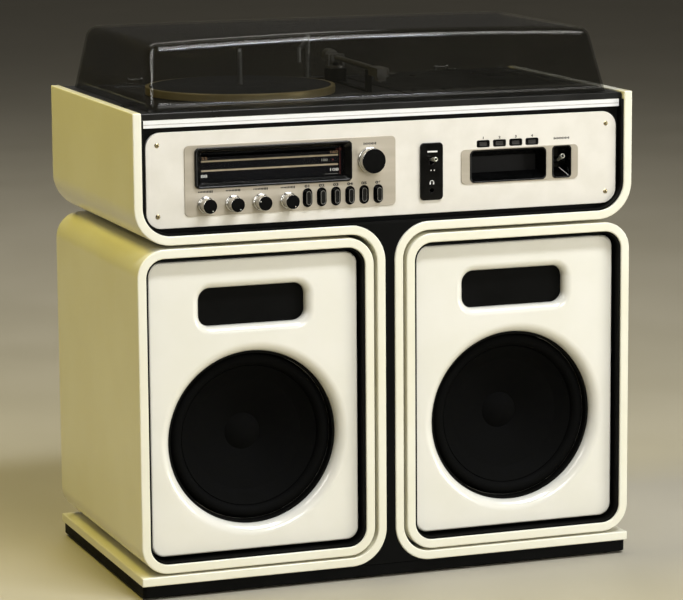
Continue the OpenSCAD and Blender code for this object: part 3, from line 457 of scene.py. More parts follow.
# Drivers: a black pressed paper cone with a rolled cloth edge and a domed dust cap, glued into a
# basket of plated steel
def lathe(name, centre, profile, axis="y", n=72, along=False):
    """P(i, j) = centre + r_i (cos a_j, sin a_j) across the axis + h_i along it, for (r, h) pairs.
    A profile that starts and ends on the axis closes there; with along it is a closed ring."""
    r, h = np.array(profile, float).T
    a = np.linspace(0, 2 * np.pi, n, endpoint=False)
    ring = r[:, None, None] * np.stack([np.cos(a), np.sin(a)], -1)[None]
    grid = np.concatenate([ring, np.broadcast_to(h[:, None, None], (len(r), n, 1))], -1)
    grid = grid[..., {"x": (2, 0, 1), "y": (0, 2, 1), "z": (0, 1, 2)}[axis]] + np.array(centre)
    return skin(name, grid, along, False)


def turned_arc(r, h, radius, start, end, n=10):
    """Profile points (r + R cos a, h + R sin a), a from start to end in degrees."""
    a = np.radians(np.linspace(start, end, n + 1))
    return list(zip(r + radius * np.cos(a), h + radius * np.sin(a)))


board_back = box_of("right_liner")[1][1]
rim_r, roll_r = woofer_r - 4.5, 9.0
roll_c = rim_r - 10.0
neck_r, neck_h = 28.0, 32.4
slope_r, slope_h, slope_bow = roll_c - roll_r - 1 - neck_r, 33.4, 3.0
slope = [(neck_r + slope_r * t, neck_h - slope_h * t + slope_bow * math.sin(math.pi * t))
         for t in np.linspace(0, 1, 9)]
cone_front = ([(0, 27)] + turned_arc(0, 87, 60, -88, -65, 8) + [(26.5, 33.2), (neck_r, 32.6)] + slope
              + turned_arc(roll_c, 0, roll_r, 180, 360, 14) + [(rim_r, -0.5)])
cone_back = [(rim_r, 0.0), (roll_c - roll_r + 1, 0.6), (27, 34.5), (0, 34.5)]
# Coated paper and cloth: dull black with a felted grain
coned_paper = finish_of(
    "black_cone_paper", ("#040404", "#070706"), patch=14, rough=0.8, drift=0.1, grain=1.6, relief=0.12,
    Specular_IOR_Level=0.05)
# Zinc-plated pressed steel: grey, slightly mottled
zinc_steel = finish_of(
    "zinc_plated_steel", ("#8C8B86", "#A3A29C"), patch=7, rough=0.42, drift=0.15, grain=0.6, relief=0.01,
    Metallic=1.0)
for side, flip in sides:
    cone = lathe(side + "_driver_cone", (flip * cab_x, board_back, woofer_z), cone_front + cone_back, n=112)
    fit(cone, coned_paper, side + "_speaker", "cone_black", side + "_woofer_cone")
carry(zinc_steel, "left_woofer_chassis", "right_woofer_chassis", "tape_transport", "amplifier_chassis")

# Music unit: a black pressed steel tray between the shells, with a wall behind the faceplate that
# holds the dial, the switches and the tape player
# Black enamel on steel: satin, so the gaps round the front read as shadow
black_enamel = finish_of(
    "black_enamel", ("#060606", "#0B0B0A"), patch=40, rough=0.5, drift=0.1, grain=0.7, relief=0.015,
    Specular_IOR_Level=0.08)
carry(black_enamel, "unit_case", "front_bulkhead")

# Faceplate: a flat panel sprayed satin ivory and held by four brass screws, cut out for all that sits
# in it
(x0, face_y, face_low), (face_w, face_back, z1) = box_of("faceplate")
face_mid, face_h = (face_low + z1) / 2, (z1 - face_low) / 2
knob_x = [-273.0 + 40.7 * i for i in range(4)]
knob_z = face_low + 31.1
tuning_x, tuning_z = -26.8, face_low + 82.2
button_x = [-14.5 - 21.4 * i for i in range(5, -1, -1)]
button_z = face_low + 33.0
dial_x, dial_z, dial_w, dial_h = -171.625, face_low + 82.625, 116.875, 28.875
power_x, power_z = 67.3, face_low + 60.75
lever_z, jack_z = face_low + 76.5, face_low + 33.5
tape_x, tape_z = 187.2, face_low + 64.1
well_x, well_z = 271.75, face_low + 64.75
lamp_x = [148.5 + 25.53 * i for i in range(4)]
lamp_z = face_low + 96.5
screw_x, screw_z = face_w - 16.7, (face_low + 17.5, face_low + 2 * face_h - 17.5)
mouth_w, mouth_h = 59.925, 23.6
recess_w, recess_h = 15.15, 23.65


def hole(x, z, w, h, r, y0, y1, soft, n=6):
    """Wall of a hole with its front edge rounded by soft."""
    return rings(x, z, flare_rows(w, h, r, soft, y0, y1, 3), n)


def round_hole(x, z, r, y0, y1, soft=0.3):
    """Wall of a round hole."""
    return hole(x, z, r, r, r, y0, y1, soft, 8)


# Satin-sprayed panel: warm ivory with the fine tooth of a sprayed texture coat
satin_ivory = finish_of(
    "satin_ivory_spray", ("#DAD5C9", "#E0DBD0"), patch=30, rough=0.42, drift=0.06, grain=0.9, relief=0.018)
tape_left, tape_right = tape_x - mouth_w, well_x + recess_w
row_mid, row_half = (button_x[0] + button_x[-1]) / 2, (button_x[-1] - button_x[0]) / 2
ys = (face_y, face_back)
faceplate = pierced("ivory_faceplate", [
    rings(0, face_mid, block_rows(face_w, face_h, *ys, 1.0, 22.0), 12),
    hole(dial_x, dial_z, dial_w - 2, dial_h - 2, 5, *ys, 0.3),
    hole(row_mid, button_z, row_half + 7.4, 13.65, 7.3, *ys, 0.3),
    hole((tape_left + tape_right) / 2, tape_z, (tape_right - tape_left) / 2 + 0.2, 23.3, 5, *ys, 0.3),
    round_hole(power_x, lever_z, 7.2, *ys),
    round_hole(power_x, jack_z, 6.2, *ys),
    round_hole(tuning_x, tuning_z, 3.05, *ys)]
    + [round_hole(x, knob_z, 3.05, *ys) for x in knob_x]
    + [hole(x, lamp_z, 10.2, 5.2, 2.5, *ys, 0.3) for x in lamp_x]
    + [round_hole(s * screw_x, z, 2.2, *ys, 0.4) for s in (-1, 1) for z in screw_z])
fit(faceplate, satin_ivory, "stand", "satin_cream", "faceplate")

# Screws: turned brass, with domed heads and a round recess in the middle of each
# Polished brass: pale and bright, a little tarnished in patches
polished_brass = finish_of(
    "polished_brass", ("#93876B", "#BAAE8E"), patch=3, rough=0.24, drift=0.1, grain=0.5, relief=0.01,
    Metallic=1.0)
head = [(0, -0.35), (0.8, -0.35), (1.1, -1.15), (2.2, -1.15), (3.1, -0.75), (3.5, -0.1), (3.5, 0.01),
        (1.9, 0.02)]
screw = [(r, face_y + h) for r, h in head] + [(1.9, face_back - 0.5), (0, face_back - 0.5)]
heads = [lathe("screw", (s * screw_x, 0, z), screw, n=28) for s in (-1, 1) for z in screw_z]
fit(unite("faceplate_screws", *heads), polished_brass, "stand", "brass", "face_screws")


# Control plates: thin taupe anodised aluminium, brushed along their length, cut out round the
# controls and laid on the faceplate
def plate_wall(node, y0, y1):
    """Outer wall of a thin plate with the width and height of a CAD node."""
    low, high = box_of(node)
    (x, _, z), (w, _, h) = (low + high) / 2, (high - low) / 2
    return rings(x, z, block_rows(w, h, y0, y1, 0.4, 7.0), 8)


# Anodised aluminium: a taupe sheen with fine lines drawn about twice as coarse as they are
taupe_anodised = finish_of(
    "taupe_anodised_aluminium", ("#AFA695", "#BDB4A4"), patch=25, rough=0.4, drift=0.1, grain=0.8,
    relief=0.006, stretch=(0.06, 1, 1), Metallic=0.3)
plate_y = box_of("tuner_plate")[0][1]
ys = (plate_y, face_y)
tuner = pierced("tuner_plate_brushed", [
    plate_wall("tuner_plate", *ys),
    hole(dial_x, dial_z, dial_w - 1.8, dial_h - 1.8, 5, *ys, 0.2),
    round_hole(tuning_x, tuning_z, 3.5, *ys, 0.2)]
    + [round_hole(x, knob_z, 3.5, *ys, 0.2) for x in knob_x]
    + [hole(x, button_z, 7.4, 13.65, 7.4, *ys, 0.2) for x in button_x])
fit(tuner, taupe_anodised, "stand", "taupe", "tuner_plate")
tape_plate = pierced("tape_plate_brushed", [
    plate_wall("tape_plate", *ys),
    hole(tape_x, tape_z, mouth_w + 0.2, mouth_h + 0.2, 7, *ys, 0.2),
    hole(well_x, well_z, recess_w + 0.2, recess_h + 0.2, 5.5, *ys, 0.2)])
fit(tape_plate, taupe_anodised, "stand", "taupe", "tape_plate")

# Dial: a glossy black moulded frame with sloped sides, a clear window, and behind it a black printed
# scale with a red pointer
(_, dial_front, _), (_, dial_back, _) = box_of("dial_bezel")
scale_y = box_of("dial_scale")[0][1]
glass_y = face_y + 1.0
# Glossy black styrene: deep black with soft reflections and faint swirls from wiping
black_gloss = finish_of(
    "black_gloss_styrene", ("#040404", "#080808"), patch=12, rough=0.18, drift=0.08, grain=1.5,
    relief=0.004, Specular_IOR_Level=0.22, Coat_Weight=0.1, Coat_Roughness=0.08)
dial_r, dial_rim = 6.5, 1.2
frame_rows = ([(2.2, 2.2, 5, dial_back), (2.2, 2.2, 5, plate_y), (0, 0, dial_r, plate_y)]
              + [(i, i, dial_r - i, dial_front + y) for i, y in quarter(dial_rim, 4)]
              + [(2.4, 2.4, 4.6, dial_front), (3.1, 3.1, 4.3, dial_front + 0.6),
                 (8.9, 7.3, 3.2, glass_y - 0.3), (9.0, 7.4, 3, glass_y + 1.5),
                 (10.5, 8.0, 2, glass_y + 1.5), (10.5, 8.0, 2, scale_y), (5.0, 5.0, 3, scale_y),
                 (5.0, 5.0, 3, dial_back)])
bezel = stack("dial_frame", dial_x, dial_z, [(dial_w - i, dial_h - j, r, y) for i, j, r, y in frame_rows],
              along=True)
fit(bezel, black_gloss, "stand", "black_gloss", "dial_bezel")
# Printed sheet: matt black ink on metal, which takes the light without a shine; its faint navy tint is a
# painted reflection of the window
scale_ink_and_reflection = finish_of(
    "black_scale_painted_reflection", ("#050507", "#07070B"), patch=20, rough=0.5, grain=0.5, relief=0.004,
    Specular_IOR_Level=0.1)
carry(scale_ink_and_reflection, "dial_scale")
# Clear acrylic: hardly there, with a faint reflection
clear_window = finish_of(
    "clear_acrylic_window", ("#0A0A0A", "#0C0C0C"), patch=40, rough=0.06, drift=0.02, grain=20,
    relief=0.001, Alpha=0.08, Specular_IOR_Level=0.25)
carry(clear_window, "dial_glass")
# Dark red styrene, translucent enough to look dim
red_blade = finish_of(
    "dark_red_styrene", ("#3A0D0A", "#4A110D"), patch=5, rough=0.3, grain=0.5, relief=0.004)
carry(red_blade, "dial_pointer")

# Printing on the dial and the plates, in thin layers of screen-printed ink: plain numbers, lines and
# pictograms, no words
ink_t = 0.08


def bars(name, places, y, thick=ink_t):
    """Flat marks: each place gives the middle, the half width, the half height and the corner radius."""
    return unite(name, *[stack("mark", x, z, [(w, h, r, y), (w, h, r, y - thick)], n=3)
                         for x, z, w, h, r in places])


def numerals(name, places, y, size, bold=0.0, wide=1.0):
    """Numbers in Blender's own letter shapes, standing on the plane y: (x, z) = place + (wide u, v)."""
    made = []
    for text, x, z in places:
        curve = bpy.data.curves.new("text", "FONT")
        curve.body = text
        curve.size = size
        curve.align_x, curve.align_y = "CENTER", "CENTER"
        curve.offset = bold
        curve.extrude = ink_t / 2
        shape = placed("text", curve)
        mesh = bpy.data.meshes.new_from_object(shape.evaluated_get(bpy.context.evaluated_depsgraph_get()))
        flat = np.array([v.co for v in mesh.vertices])
        points = np.stack([flat[:, 0] * wide + x, y - ink_t / 2 - flat[:, 2], flat[:, 1] + z], -1)
        made.append(solid("numeral", points, [list(p.vertices) for p in mesh.polygons]))
        bpy.data.objects.remove(shape)
    return unite(name, *made)


def ink(name, *tones, patch=4):
    """A screen-printed ink: dull, opaque and thin, a little uneven between its two tones."""
    return finish_of(name, tones, patch=patch, rough=0.5, grain=0.6, relief=0.004)


# Inks: tan and brown stay dim behind the window, white stands out, dark grey is sharp on the pale
# plates
tan_ink = ink("tan_ink", "#A8977C", "#BBAB90", patch=10)
white_ink = ink("white_ink", "#D8D6CF", "#E8E6E0")
brown_ink = ink("dim_brown_ink", "#86694A", "#957858")
dark_ink = ink("dark_grey_ink", "#12110F", "#1C1A18")
grey_ink = ink("grey_ink", "#8A8880", "#98968E")
red_ink = ink("dim_red_ink", "#5A1512", "#6A1B16")
line_x, line_w, line_h, line_z = -174.0, 102.0, 1.2, (599.3, 586.0)
low_z, high_z, band_end = 578.3, 603.45, -78.5
low_band = [("88", -272.0, low_z), ("108", band_end, low_z)]
high_band = [("55", -271.0, high_z), ("160", band_end, high_z)]
fit(bars("dial_lines", [(line_x, z, line_w, line_h, 0.3) for z in line_z], scale_y),
    tan_ink, "stand", "scale_black")
fit(numerals("dial_numbers_low_band", low_band, scale_y, 5.8, 0.1, 1.7), white_ink, "stand", "scale_black")
fit(numerals("dial_numbers_high_band", high_band, scale_y, 5.2, 0.08, 1.7), brown_ink, "stand",
    "scale_black")
fit(unite("dial_band_mark", numerals("digits", [("100", -93.0, 592.6)], scale_y, 4.6, 0.1, 1.5),
          bars("rule", [(-82.0, 572.6, 10.0, 0.25, 0.2)], scale_y)), grey_ink, "stand", "scale_black")
fit(bars("dial_red_dot", [(-79.8, 592.8, 1.3, 1.3, 1.3)], scale_y), red_ink, "stand", "scale_black")

# Knobs: turned aluminium skirts, polished, with a black pressed cap let into the face and, on the
# small ones, a white dot
# Polished aluminium: bright, with turning rings too fine to count
turned_aluminium = finish_of(
    "turned_aluminium", ("#BAB9B6", "#D0CFCC"), patch=6, rough=0.2, drift=0.06, grain=0.6, relief=0.004,
    stretch=(1, 6, 1), Metallic=1.0)
# Black pressed cap: satin with fine circles
black_cap = finish_of(
    "black_pressed_cap", ("#030303", "#060605"), patch=5, rough=0.5, grain=0.5, relief=0.01,
    Specular_IOR_Level=0.06)
(_, knob_front, _), (_, knob_back, _) = box_of("volume_knob")
tuning_front = box_of("tuning_knob")[0][1]


def knob(name, x, z, foot_r, tip_r, front, mark_turn):
    """A skirt that narrows from foot_r to tip_r, a cap let into its face, and a dot mark_turn degrees
    clockwise from the top, when a knob has one."""
    back = plate_y - 0.5
    foot = [(0, knob_back), (2.9, knob_back), (3.0, knob_back - 0.3), (3.0, back), (foot_r - 1.2, back),
            (foot_r - 0.2, back - 0.2), (foot_r, back - 0.8), (foot_r, back - 1.6)]
    shoulder = turned_arc(foot_r - 2.0, back - 1.8, 2.0, -5, -70, 8) + [(foot_r - 1.6, back - 4.0)]
    neck = [(tip_r - 0.1, back - 5.2), (tip_r - 0.15, front + 2.6), (tip_r, front + 0.9),
            (tip_r - 0.1, front + 0.45), (tip_r - 0.3, front + 0.25), (tip_r - 0.5, front + 0.5),
            (tip_r - 0.52, front + 1.0), (0, front + 1.0)]
    skirt = lathe(name + "_skirt", (x, 0, z), foot + shoulder + neck, n=64)
    fit(skirt, turned_aluminium, name, "knob_metal", name)
    cap_r = tip_r - 0.55
    cap = lathe(name + "_cap", (x, 0, z), [
        (0, front + 0.05), (cap_r * 0.55, front + 0.08), (cap_r - 0.6, front + 0.15),
        (cap_r - 0.2, front + 0.35), (cap_r, front + 0.7), (cap_r, front + 1.05), (0, front + 1.05)], n=64)
    fit(cap, black_cap, name, "knob_metal")
    if mark_turn is not None:
        a = math.radians(mark_turn)
        reach = tip_r - 2.6
        dot = lathe(name + "_dot", (x + reach * math.sin(a), 0, z + reach * math.cos(a)), [
            (0, front + 0.02), (0.75, front + 0.06), (0.85, front + 0.45), (0, front + 0.45)], n=20)
        fit(dot, white_ink, name, "knob_metal")


small_knobs = ("volume_knob", "balance_knob", "treble_knob", "bass_knob")
for name, x, turn in zip(small_knobs, knob_x, (150, 150, -66, 150)):
    knob(name, x, knob_z, 12.0, 10.2, knob_front, turn)
knob("tuning_knob", tuning_x, tuning_z, 18.7, 17.8, tuning_front, None)

# Push buttons: glossy black moulded pills in oval frames of the same gloss, in one opening of the
# faceplate; the fifth one is pressed in
frame_w, frame_h, frame_y = 7.2, 13.45, box_of("button_bezels")[0][1]
well_y = frame_y + 2.0
cap_w, cap_h, cap_foot, bead_in, bead_r = 3.75, 10.0, 1.8, 0.5, 0.28
# Glossy black ABS of the buttons: a little lighter where fingers have dulled it
black_button = finish_of(
    "black_abs_button", ("#080808", "#131312"), patch=4, rough=0.22, drift=0.1, grain=0.8, relief=0.006,
    Specular_IOR_Level=0.3, Coat_Weight=0.1, Coat_Roughness=0.1)
# The keys' raised edges in pale grey: a painted highlight where the glossy black would catch the light
painted_edge_highlight = finish_of("black_abs_painted_highlight", ("#6E6C66", "#838079"), patch=3, rough=0.35, grain=0.6, relief=0.004)
pill_steps = [(0, face_back), (0, frame_y + 0.5), (0.15, frame_y + 0.15), (0.4, frame_y),
              (0.8, frame_y + 0.1), (1.1, frame_y + 0.5), (2.0, well_y), (3.15, well_y), (3.15, face_back)]
pill_rows = [(frame_w - i, frame_h - i, frame_w - i, y) for i, y in pill_steps]
frames = [stack("pill_frame", x, button_z, pill_rows, along=True, n=10) for x in button_x]
fit(unite("button_frames", *frames), black_gloss, "stand", "black_gloss", "button_bezels")
for name, x in zip(("phono", "am", "fm", "stereo", "tape", "afc"), button_x):
    body = "button_" + name
    (_, front, _), (_, back, _) = box_of(body)
    key_steps = [(-cap_foot, back), (-cap_foot, back - 2.0), (0, back - 2.0), (0, front + 0.7),
                 (0.15, front + 0.25), (bead_in, front), (0.95, front + 0.05), (1.3, front + 0.5)]
    key_rows = [(cap_w - i, cap_h - i, cap_w - i, y) for i, y in key_steps] + [(1.2, 7.4, 1.2, front + 0.65)]
    fit(stack(body + "_key", x, button_z, key_rows, n=10), black_button, body, "button_black", body)
    # A thin bead round each key's face, coloured grey as a painted highlight
    bead = turned_arc(cap_w - bead_in, front + 0.05, bead_r, 0, 315, 7)
    bead_rows = [(r, r + cap_h - cap_w, r, y) for r, y in bead]
    fit(stack(body + "_edge", x, button_z, bead_rows, along=True, n=10), painted_edge_highlight, body, "button_black")

# Switch and socket plate: a glossy black moulded plate with a nickelled bat lever, hollow at its tip,
# and the headphone socket
(_, power_front, _), (_, jack_back, _) = box_of("power_plate")
ys = (power_front, face_y)
power_w, power_h, lever_hole, jack_r = 17.5, 41.35, (3.4, 5.5, 0.4), 3.2
lever_y = face_y + 8.0
switch_back = lever_y + 6
plate = pierced("power_plate_front", [
    rings(power_x, power_z, block_rows(power_w, power_h, *ys, 0.9, 6.0), 8),
    hole(power_x, lever_z, *lever_hole, *ys, 0.4, 4),
    round_hole(power_x, jack_z, jack_r, *ys, 0.5)])
switch_box = stack("switch_box", power_x, lever_z, [
    (6, 7, 1, face_y), (6, 7, 1, switch_back), (*lever_hole, switch_back), (*lever_hole, face_y)],
    along=True, n=3)
jack_sleeve = lathe("jack_sleeve", (power_x, 0, jack_z), [
    (5.8, face_y), (5.8, jack_back), (jack_r, jack_back), (jack_r, face_y)], along=True, n=32)
fit(unite("power_plate_gloss", plate, switch_box, jack_sleeve), black_gloss, "stand", "black_gloss",
    "power_plate")
# Satin nickel of the levers: pale, bright and soft
satin_nickel = finish_of(
    "satin_nickel", ("#C9C6BA", "#DAD7CC"), patch=4, rough=0.32, drift=0.1, grain=0.5, relief=0.004,
    Metallic=0.7)


def bat(body, pivot, turn, length, tip_r, tip_l, stem_r, hub):
    """A hollow lever turned about its axis, then raised by turn degrees about the pivot:
    (y', z') = R(-turn) (y, z). The plug in its open end and its cross bar are black plastic; hub gives
    the bar's radius and half length."""
    tube = lathe(body + "_tube", pivot, [
        (0, 0.5), (stem_r, 0), (stem_r, tip_l - length - 1.2), (tip_r - 0.5, tip_l - length - 0.3),
        (tip_r - 0.05, tip_l - length + 0.5), (tip_r, 1.0 - length), (tip_r - 0.25, 0.3 - length),
        (tip_r - 0.7, 0.05 - length), (tip_r - 1.15, 0.4 - length), (tip_r - 1.3, 3.4 - length),
        (0, 3.5 - length)], n=32)
    bar_r, bar_l = hub
    bar = lathe(body + "_bar", pivot, [
        (0, -bar_l), (bar_r - 0.5, -bar_l), (bar_r, 0.5 - bar_l), (bar_r, bar_l - 0.5), (bar_r - 0.5, bar_l),
        (0, bar_l)], axis="x", n=32)
    plug = lathe(body + "_plug", pivot, [
        (0, 1.6 - length), (tip_r - 1.5, 1.7 - length), (tip_r - 1.32, 1.9 - length),
        (tip_r - 1.32, 3.3 - length), (0, 3.3 - length)], n=24)
    plug = unite(body + "_black", plug, bar)
    at = Vector(metres(np.array(pivot)))
    for piece in (tube, plug):
        piece.data.transform(Matrix.Translation(at) @ Matrix.Rotation(-math.radians(turn), 4, "X")
                             @ Matrix.Translation(-at))
    fit(tube, satin_nickel, body, "chrome", body)
    fit(plug, black_cap, body, "chrome")


bat("power_lever", (power_x, lever_y, lever_z), 8, 28.0, 3.15, 9.0, 2.0, (3.4, 3.1))
plate_marks = [(68.2, 598.0, 7.7, 1.1, 0.4)] + [(x, 571.0, 0.9, 0.9, 0.9) for x in (66.0, 71.0)]
fit(bars("power_plate_marks", plate_marks, power_front), white_ink, "stand", "black_gloss")
pads_z, hoop_z, mark_y = 552.6, 553.4, power_front - ink_t
ear_pads = bars("mark", [(power_x + s * 2.6, pads_z, 1.0, 1.9, 0.6) for s in (-1, 1)], power_front)
a = np.linspace(0, np.pi, 13)
hoop = np.stack([np.stack([power_x + r * np.cos(a), np.full_like(a, y), hoop_z + r * np.sin(a)], -1)
                 for r, y in ((3.3, power_front), (3.3, mark_y), (2.5, mark_y), (2.5, power_front))], 1)
fit(unite("headphone_mark", ear_pads, skin("mark", hoop)), white_ink, "stand", "black_gloss")

# Cartridge mouth: a glossy black moulding with sloped sides and a spring flap, and beside it the
# recess of the lever that picks the track
tape_front = box_of("tape_bezel")[0][1]
throat_y, mouth_back = face_y + 19.0, face_y + 22.0
block_w, block_h, throat_w, throat_h = 58.5, 22.9, 53, 12
mouth = stack("mouth_frame", tape_x, tape_z, [
    (block_w, block_h, 4.5, mouth_back), (block_w, block_h, 4.5, face_y), (mouth_w, mouth_h, 7, face_y),
    (mouth_w, mouth_h, 7, tape_front + 0.7), (59.7, 23.4, 6.8, tape_front + 0.2),
    (59.2, 22.9, 6.3, tape_front), (58.4, 22.1, 6, tape_front + 0.2), (57.9, 21.6, 5.8, tape_front + 0.7),
    (throat_w + 0.4, throat_h + 0.4, 2.2, throat_y - 0.6), (throat_w, throat_h, 2, throat_y),
    (throat_w, throat_h, 2, mouth_back)], along=True)
recess = stack("lever_recess", well_x, well_z, [
    (15, 23.3, 5.3, face_y + 21.9), (15, 23.3, 5.3, face_y), (recess_w, recess_h, 5.5, face_y),
    (recess_w, recess_h, 5.5, tape_front + 0.7), (14.9, 23.4, 5.3, tape_front + 0.2),
    (14.4, 22.9, 4.8, tape_front), (13.7, 22.2, 4.5, tape_front + 0.2), (13.3, 21.8, 4.2, tape_front + 0.7),
    (12.1, 19.3, 3, tape_front + 6), (12, 19.15, 3, tape_front + 6.4), (12, 19.15, 3, face_y + 20)])
bridge_x0, bridge_x1 = tape_x + block_w - 0.5, well_x - 15 + 0.5
bridge = stack("mouth_bridge", (bridge_x0 + bridge_x1) / 2, tape_z,
               block_rows((bridge_x1 - bridge_x0) / 2, block_h, face_y + 0.3, mouth_back - 0.3, 0.3), n=2)
(x0, _, _), (x1, _, door_top) = box_of("tape_door")
ear_x = (x1 - x0) / 2 - 1.0
ears = [stack("ear", tape_x + s * ear_x, door_top - 1.5,
              block_rows(1.2, 3.2, mouth_back - 0.2, mouth_back + 4.3, 0.4), n=2) for s in (-1, 1)]
fit(unite("cartridge_mouth", mouth, recess, bridge, *ears), black_gloss, "stand", "black_gloss",
    "tape_bezel")
# Flap: black ABS with a fine spark-eroded texture, so it stays dull in its glossy frame
black_flap = finish_of(
    "textured_black_abs", ("#040405", "#070708"), patch=10, rough=0.45, grain=0.7, relief=0.03,
    Specular_IOR_Level=0.15)
carry(black_flap, "tape_door")
bat("program_lever", (well_x, face_y + 15, well_z), 24, 22.5, 3.45, 7.5, 2.2, (4.0, 11.7))
ramp_w, ramp_low, ramp_in, ramp_top = 12.2, -21.4, 4.5, -10.7
ramp_y0, ramp_y1 = tape_front + 1.2, face_y + 19.9
well = np.array([well_x, 0, well_z])
ramp = well + [(-ramp_w, ramp_y0, ramp_low), (ramp_w, ramp_y0, ramp_low), (12.0, ramp_y0 + 3, -6.0),
               (12.0, ramp_y1, -6.0), (ramp_in, ramp_y1, ramp_top), (-ramp_w, ramp_y1, ramp_top),
               (-ramp_w, ramp_y1, ramp_low), (ramp_w, ramp_y1, ramp_low)]
ramp_faces = [(0, 1, 4, 5), (1, 2, 3, 4), (0, 5, 6), (0, 6, 7, 1), (1, 7, 3, 2), (3, 7, 6, 5, 4)]
fit(solid("recess_ramp", ramp, ramp_faces), black_gloss, "stand", "black_gloss")
# A pale strip on the ramp's corner: a painted glint down the recess, where the black gloss would catch the
# light
glint_paint = finish_of(
    "painted_glint_pale", ("#DAD8D0", "#ECEAE4"), patch=3, rough=0.25, grain=0.6, relief=0.004,
    Metallic=0.1)
# The strip of painted highlight runs down the ramp's corner
start, end = well + [(ramp_in + 0.2, ramp_y1 - 0.6, -10.9), (11.6, ramp_y0 + 1.0, -20.6)]
way = (end - start) / np.linalg.norm(end - start)
across = np.cross(way, (0, 1, 0)) / np.linalg.norm(np.cross(way, (0, 1, 0)))
a = np.linspace(0, 2 * np.pi, 10, endpoint=False)[:, None]
ring = 0.45 * (np.cos(a) * across + np.sin(a) * np.cross(way, across))
corner = np.stack([start + ring * 0.4, start + way * 0.5 + ring, end - way * 0.5 + ring, end + ring * 0.4])
fit(skin("recess_painted_glint", corner), glint_paint, "stand", "chrome")

# Program lamps: four small black moulded frames in a row over the tape mouth, with a smoked lens each
# and numbered above
lamps = [stack("lamp_frame", x, lamp_z, [
    (10, 5, 2.5, face_back), (10, 5, 2.5, face_y - 0.2), (9.8, 4.8, 2.3, face_y - 0.5),
    (9.4, 4.4, 2.0, face_y - 0.6), (6.3, 2.8, 1.2, face_y - 0.6), (6, 2.5, 1, face_y - 0.3),
    (6, 2.5, 1, face_y + 0.8)], n=6) for x in lamp_x]
fit(unite("lamp_frames", *lamps), black_gloss, "stand", "black_gloss", "program_lamps")
# Unlit lens: dull grey-brown behind smoked styrene
smoked_lens = finish_of("smoked_lens", ("#1E1C1A", "#272421"), patch=3, rough=0.35, grain=0.6, relief=0.01)
lenses = [stack("lens", x, lamp_z, [
    (5.8, 2.3, 0.9, face_y + 0.8), (5.8, 2.3, 0.9, face_y + 0.1), (5.4, 1.9, 0.6, face_y - 0.1)], n=4)
    for x in lamp_x]
fit(unite("lamp_lenses", *lenses), smoked_lens, "stand", "black_gloss")

# Marks on the plates: a number over each lamp and button, a row of short bars over each knob, and a
# wider one over the lever that picks the track
mark_z, mark_step = 557.8, 2.2
lamp_numbers = [(str(i + 1), x, 613.2) for i, x in enumerate(lamp_x)]
button_numbers = [("0" + str(i + 1), x, mark_z) for i, x in enumerate(button_x)]
knob_bars = [(x + mark_step * (i - 4.5), mark_z, 0.75, 0.9 + 0.1 * i, 0.15)
             for x in knob_x for i in range(10)]
tuning_bars = [(tuning_x + mark_step * (i - 4), 614.0, 0.75, (1.8, 1.2)[i % 2], 0.15) for i in range(9)]
program_bars = [(well_x + 2.3 * (i - 5), 607.6, 0.8, (1.6, 1.1)[i % 2], 0.15) for i in range(11)]
fit(numerals("lamp_numbers", lamp_numbers, face_y, 4.8, 0.22, 1.2), dark_ink, "stand", "satin_cream")
fit(numerals("button_numbers", button_numbers, plate_y, 5.2, 0.24, 1.6), dark_ink, "stand", "taupe")
fit(bars("knob_marks", knob_bars + tuning_bars, plate_y), dark_ink, "stand", "taupe")
fit(bars("program_mark", program_bars, face_y), dark_ink, "stand", "satin_cream")

# Motor board and trim: a black laminated board, and below its edge a bright rolled aluminium strip
# with one fine groove, whose shade is painted as a grey line
# Black laminate: satin, so the board mirrors the cover's foot softly
satin_laminate = finish_of(
    "satin_black_laminate", ("#070706", "#0C0C0B"), patch=80, rough=0.32, drift=0.1, grain=1.2,
    relief=0.008, Specular_IOR_Level=0.4)
softened("motor_board", satin_laminate, 1.4, "stand", "black_board")
# Rolled aluminium: nearly white, with its grain drawn along the strip
bright_aluminium = finish_of(
    "bright_rolled_aluminium", ("#F1F1EF", "#F9F9F7"), patch=60, rough=0.25, drift=0.08, grain=0.8,
    relief=0.004, stretch=(0.04, 1, 1), Metallic=0.1)
softened("trim_strip", bright_aluminium, 0.5, "stand", "bright_trim")
(x0, trim_y, z0), (trim_w, y1, z1) = box_of("trim_strip")
# Painted shade of the fine groove: a grey hairline that divides the strip
groove_shade = finish_of("painted_groove_shade", ("#A8A29E", "#B4AFAB"), patch=20, rough=0.4, grain=0.8, relief=0.004)
fit(bars("trim_groove_shade", [(0, (z0 + z1) / 2 - 0.8, trim_w - 0.6, 0.5, 0.1)], trim_y, 0.05),
    groove_shade, "stand", "bright_trim")

# Changer: a dark enamelled steel deck with a turned, brass-toned platter, its ribbed rubber mat and a
# steel spindle, the pickup arm, and the arm that steadies the records
# Dark enamel: charcoal, just lighter than the board round it
dark_enamel = finish_of(
    "charcoal_enamel", ("#1A1A19", "#232321"), patch=30, rough=0.4, grain=0.7, relief=0.01)
carry(dark_enamel, "changer_motor")
softened("deck_plate", dark_enamel, 0.8, "stand", "dark_metal")
(x0, y0, platter_low), (x1, y1, platter_top) = box_of("platter")
hub_x, hub_y, platter_r = (x0 + x1) / 2, (y0 + y1) / 2, (x1 - x0) / 2
rim_t = 2.5
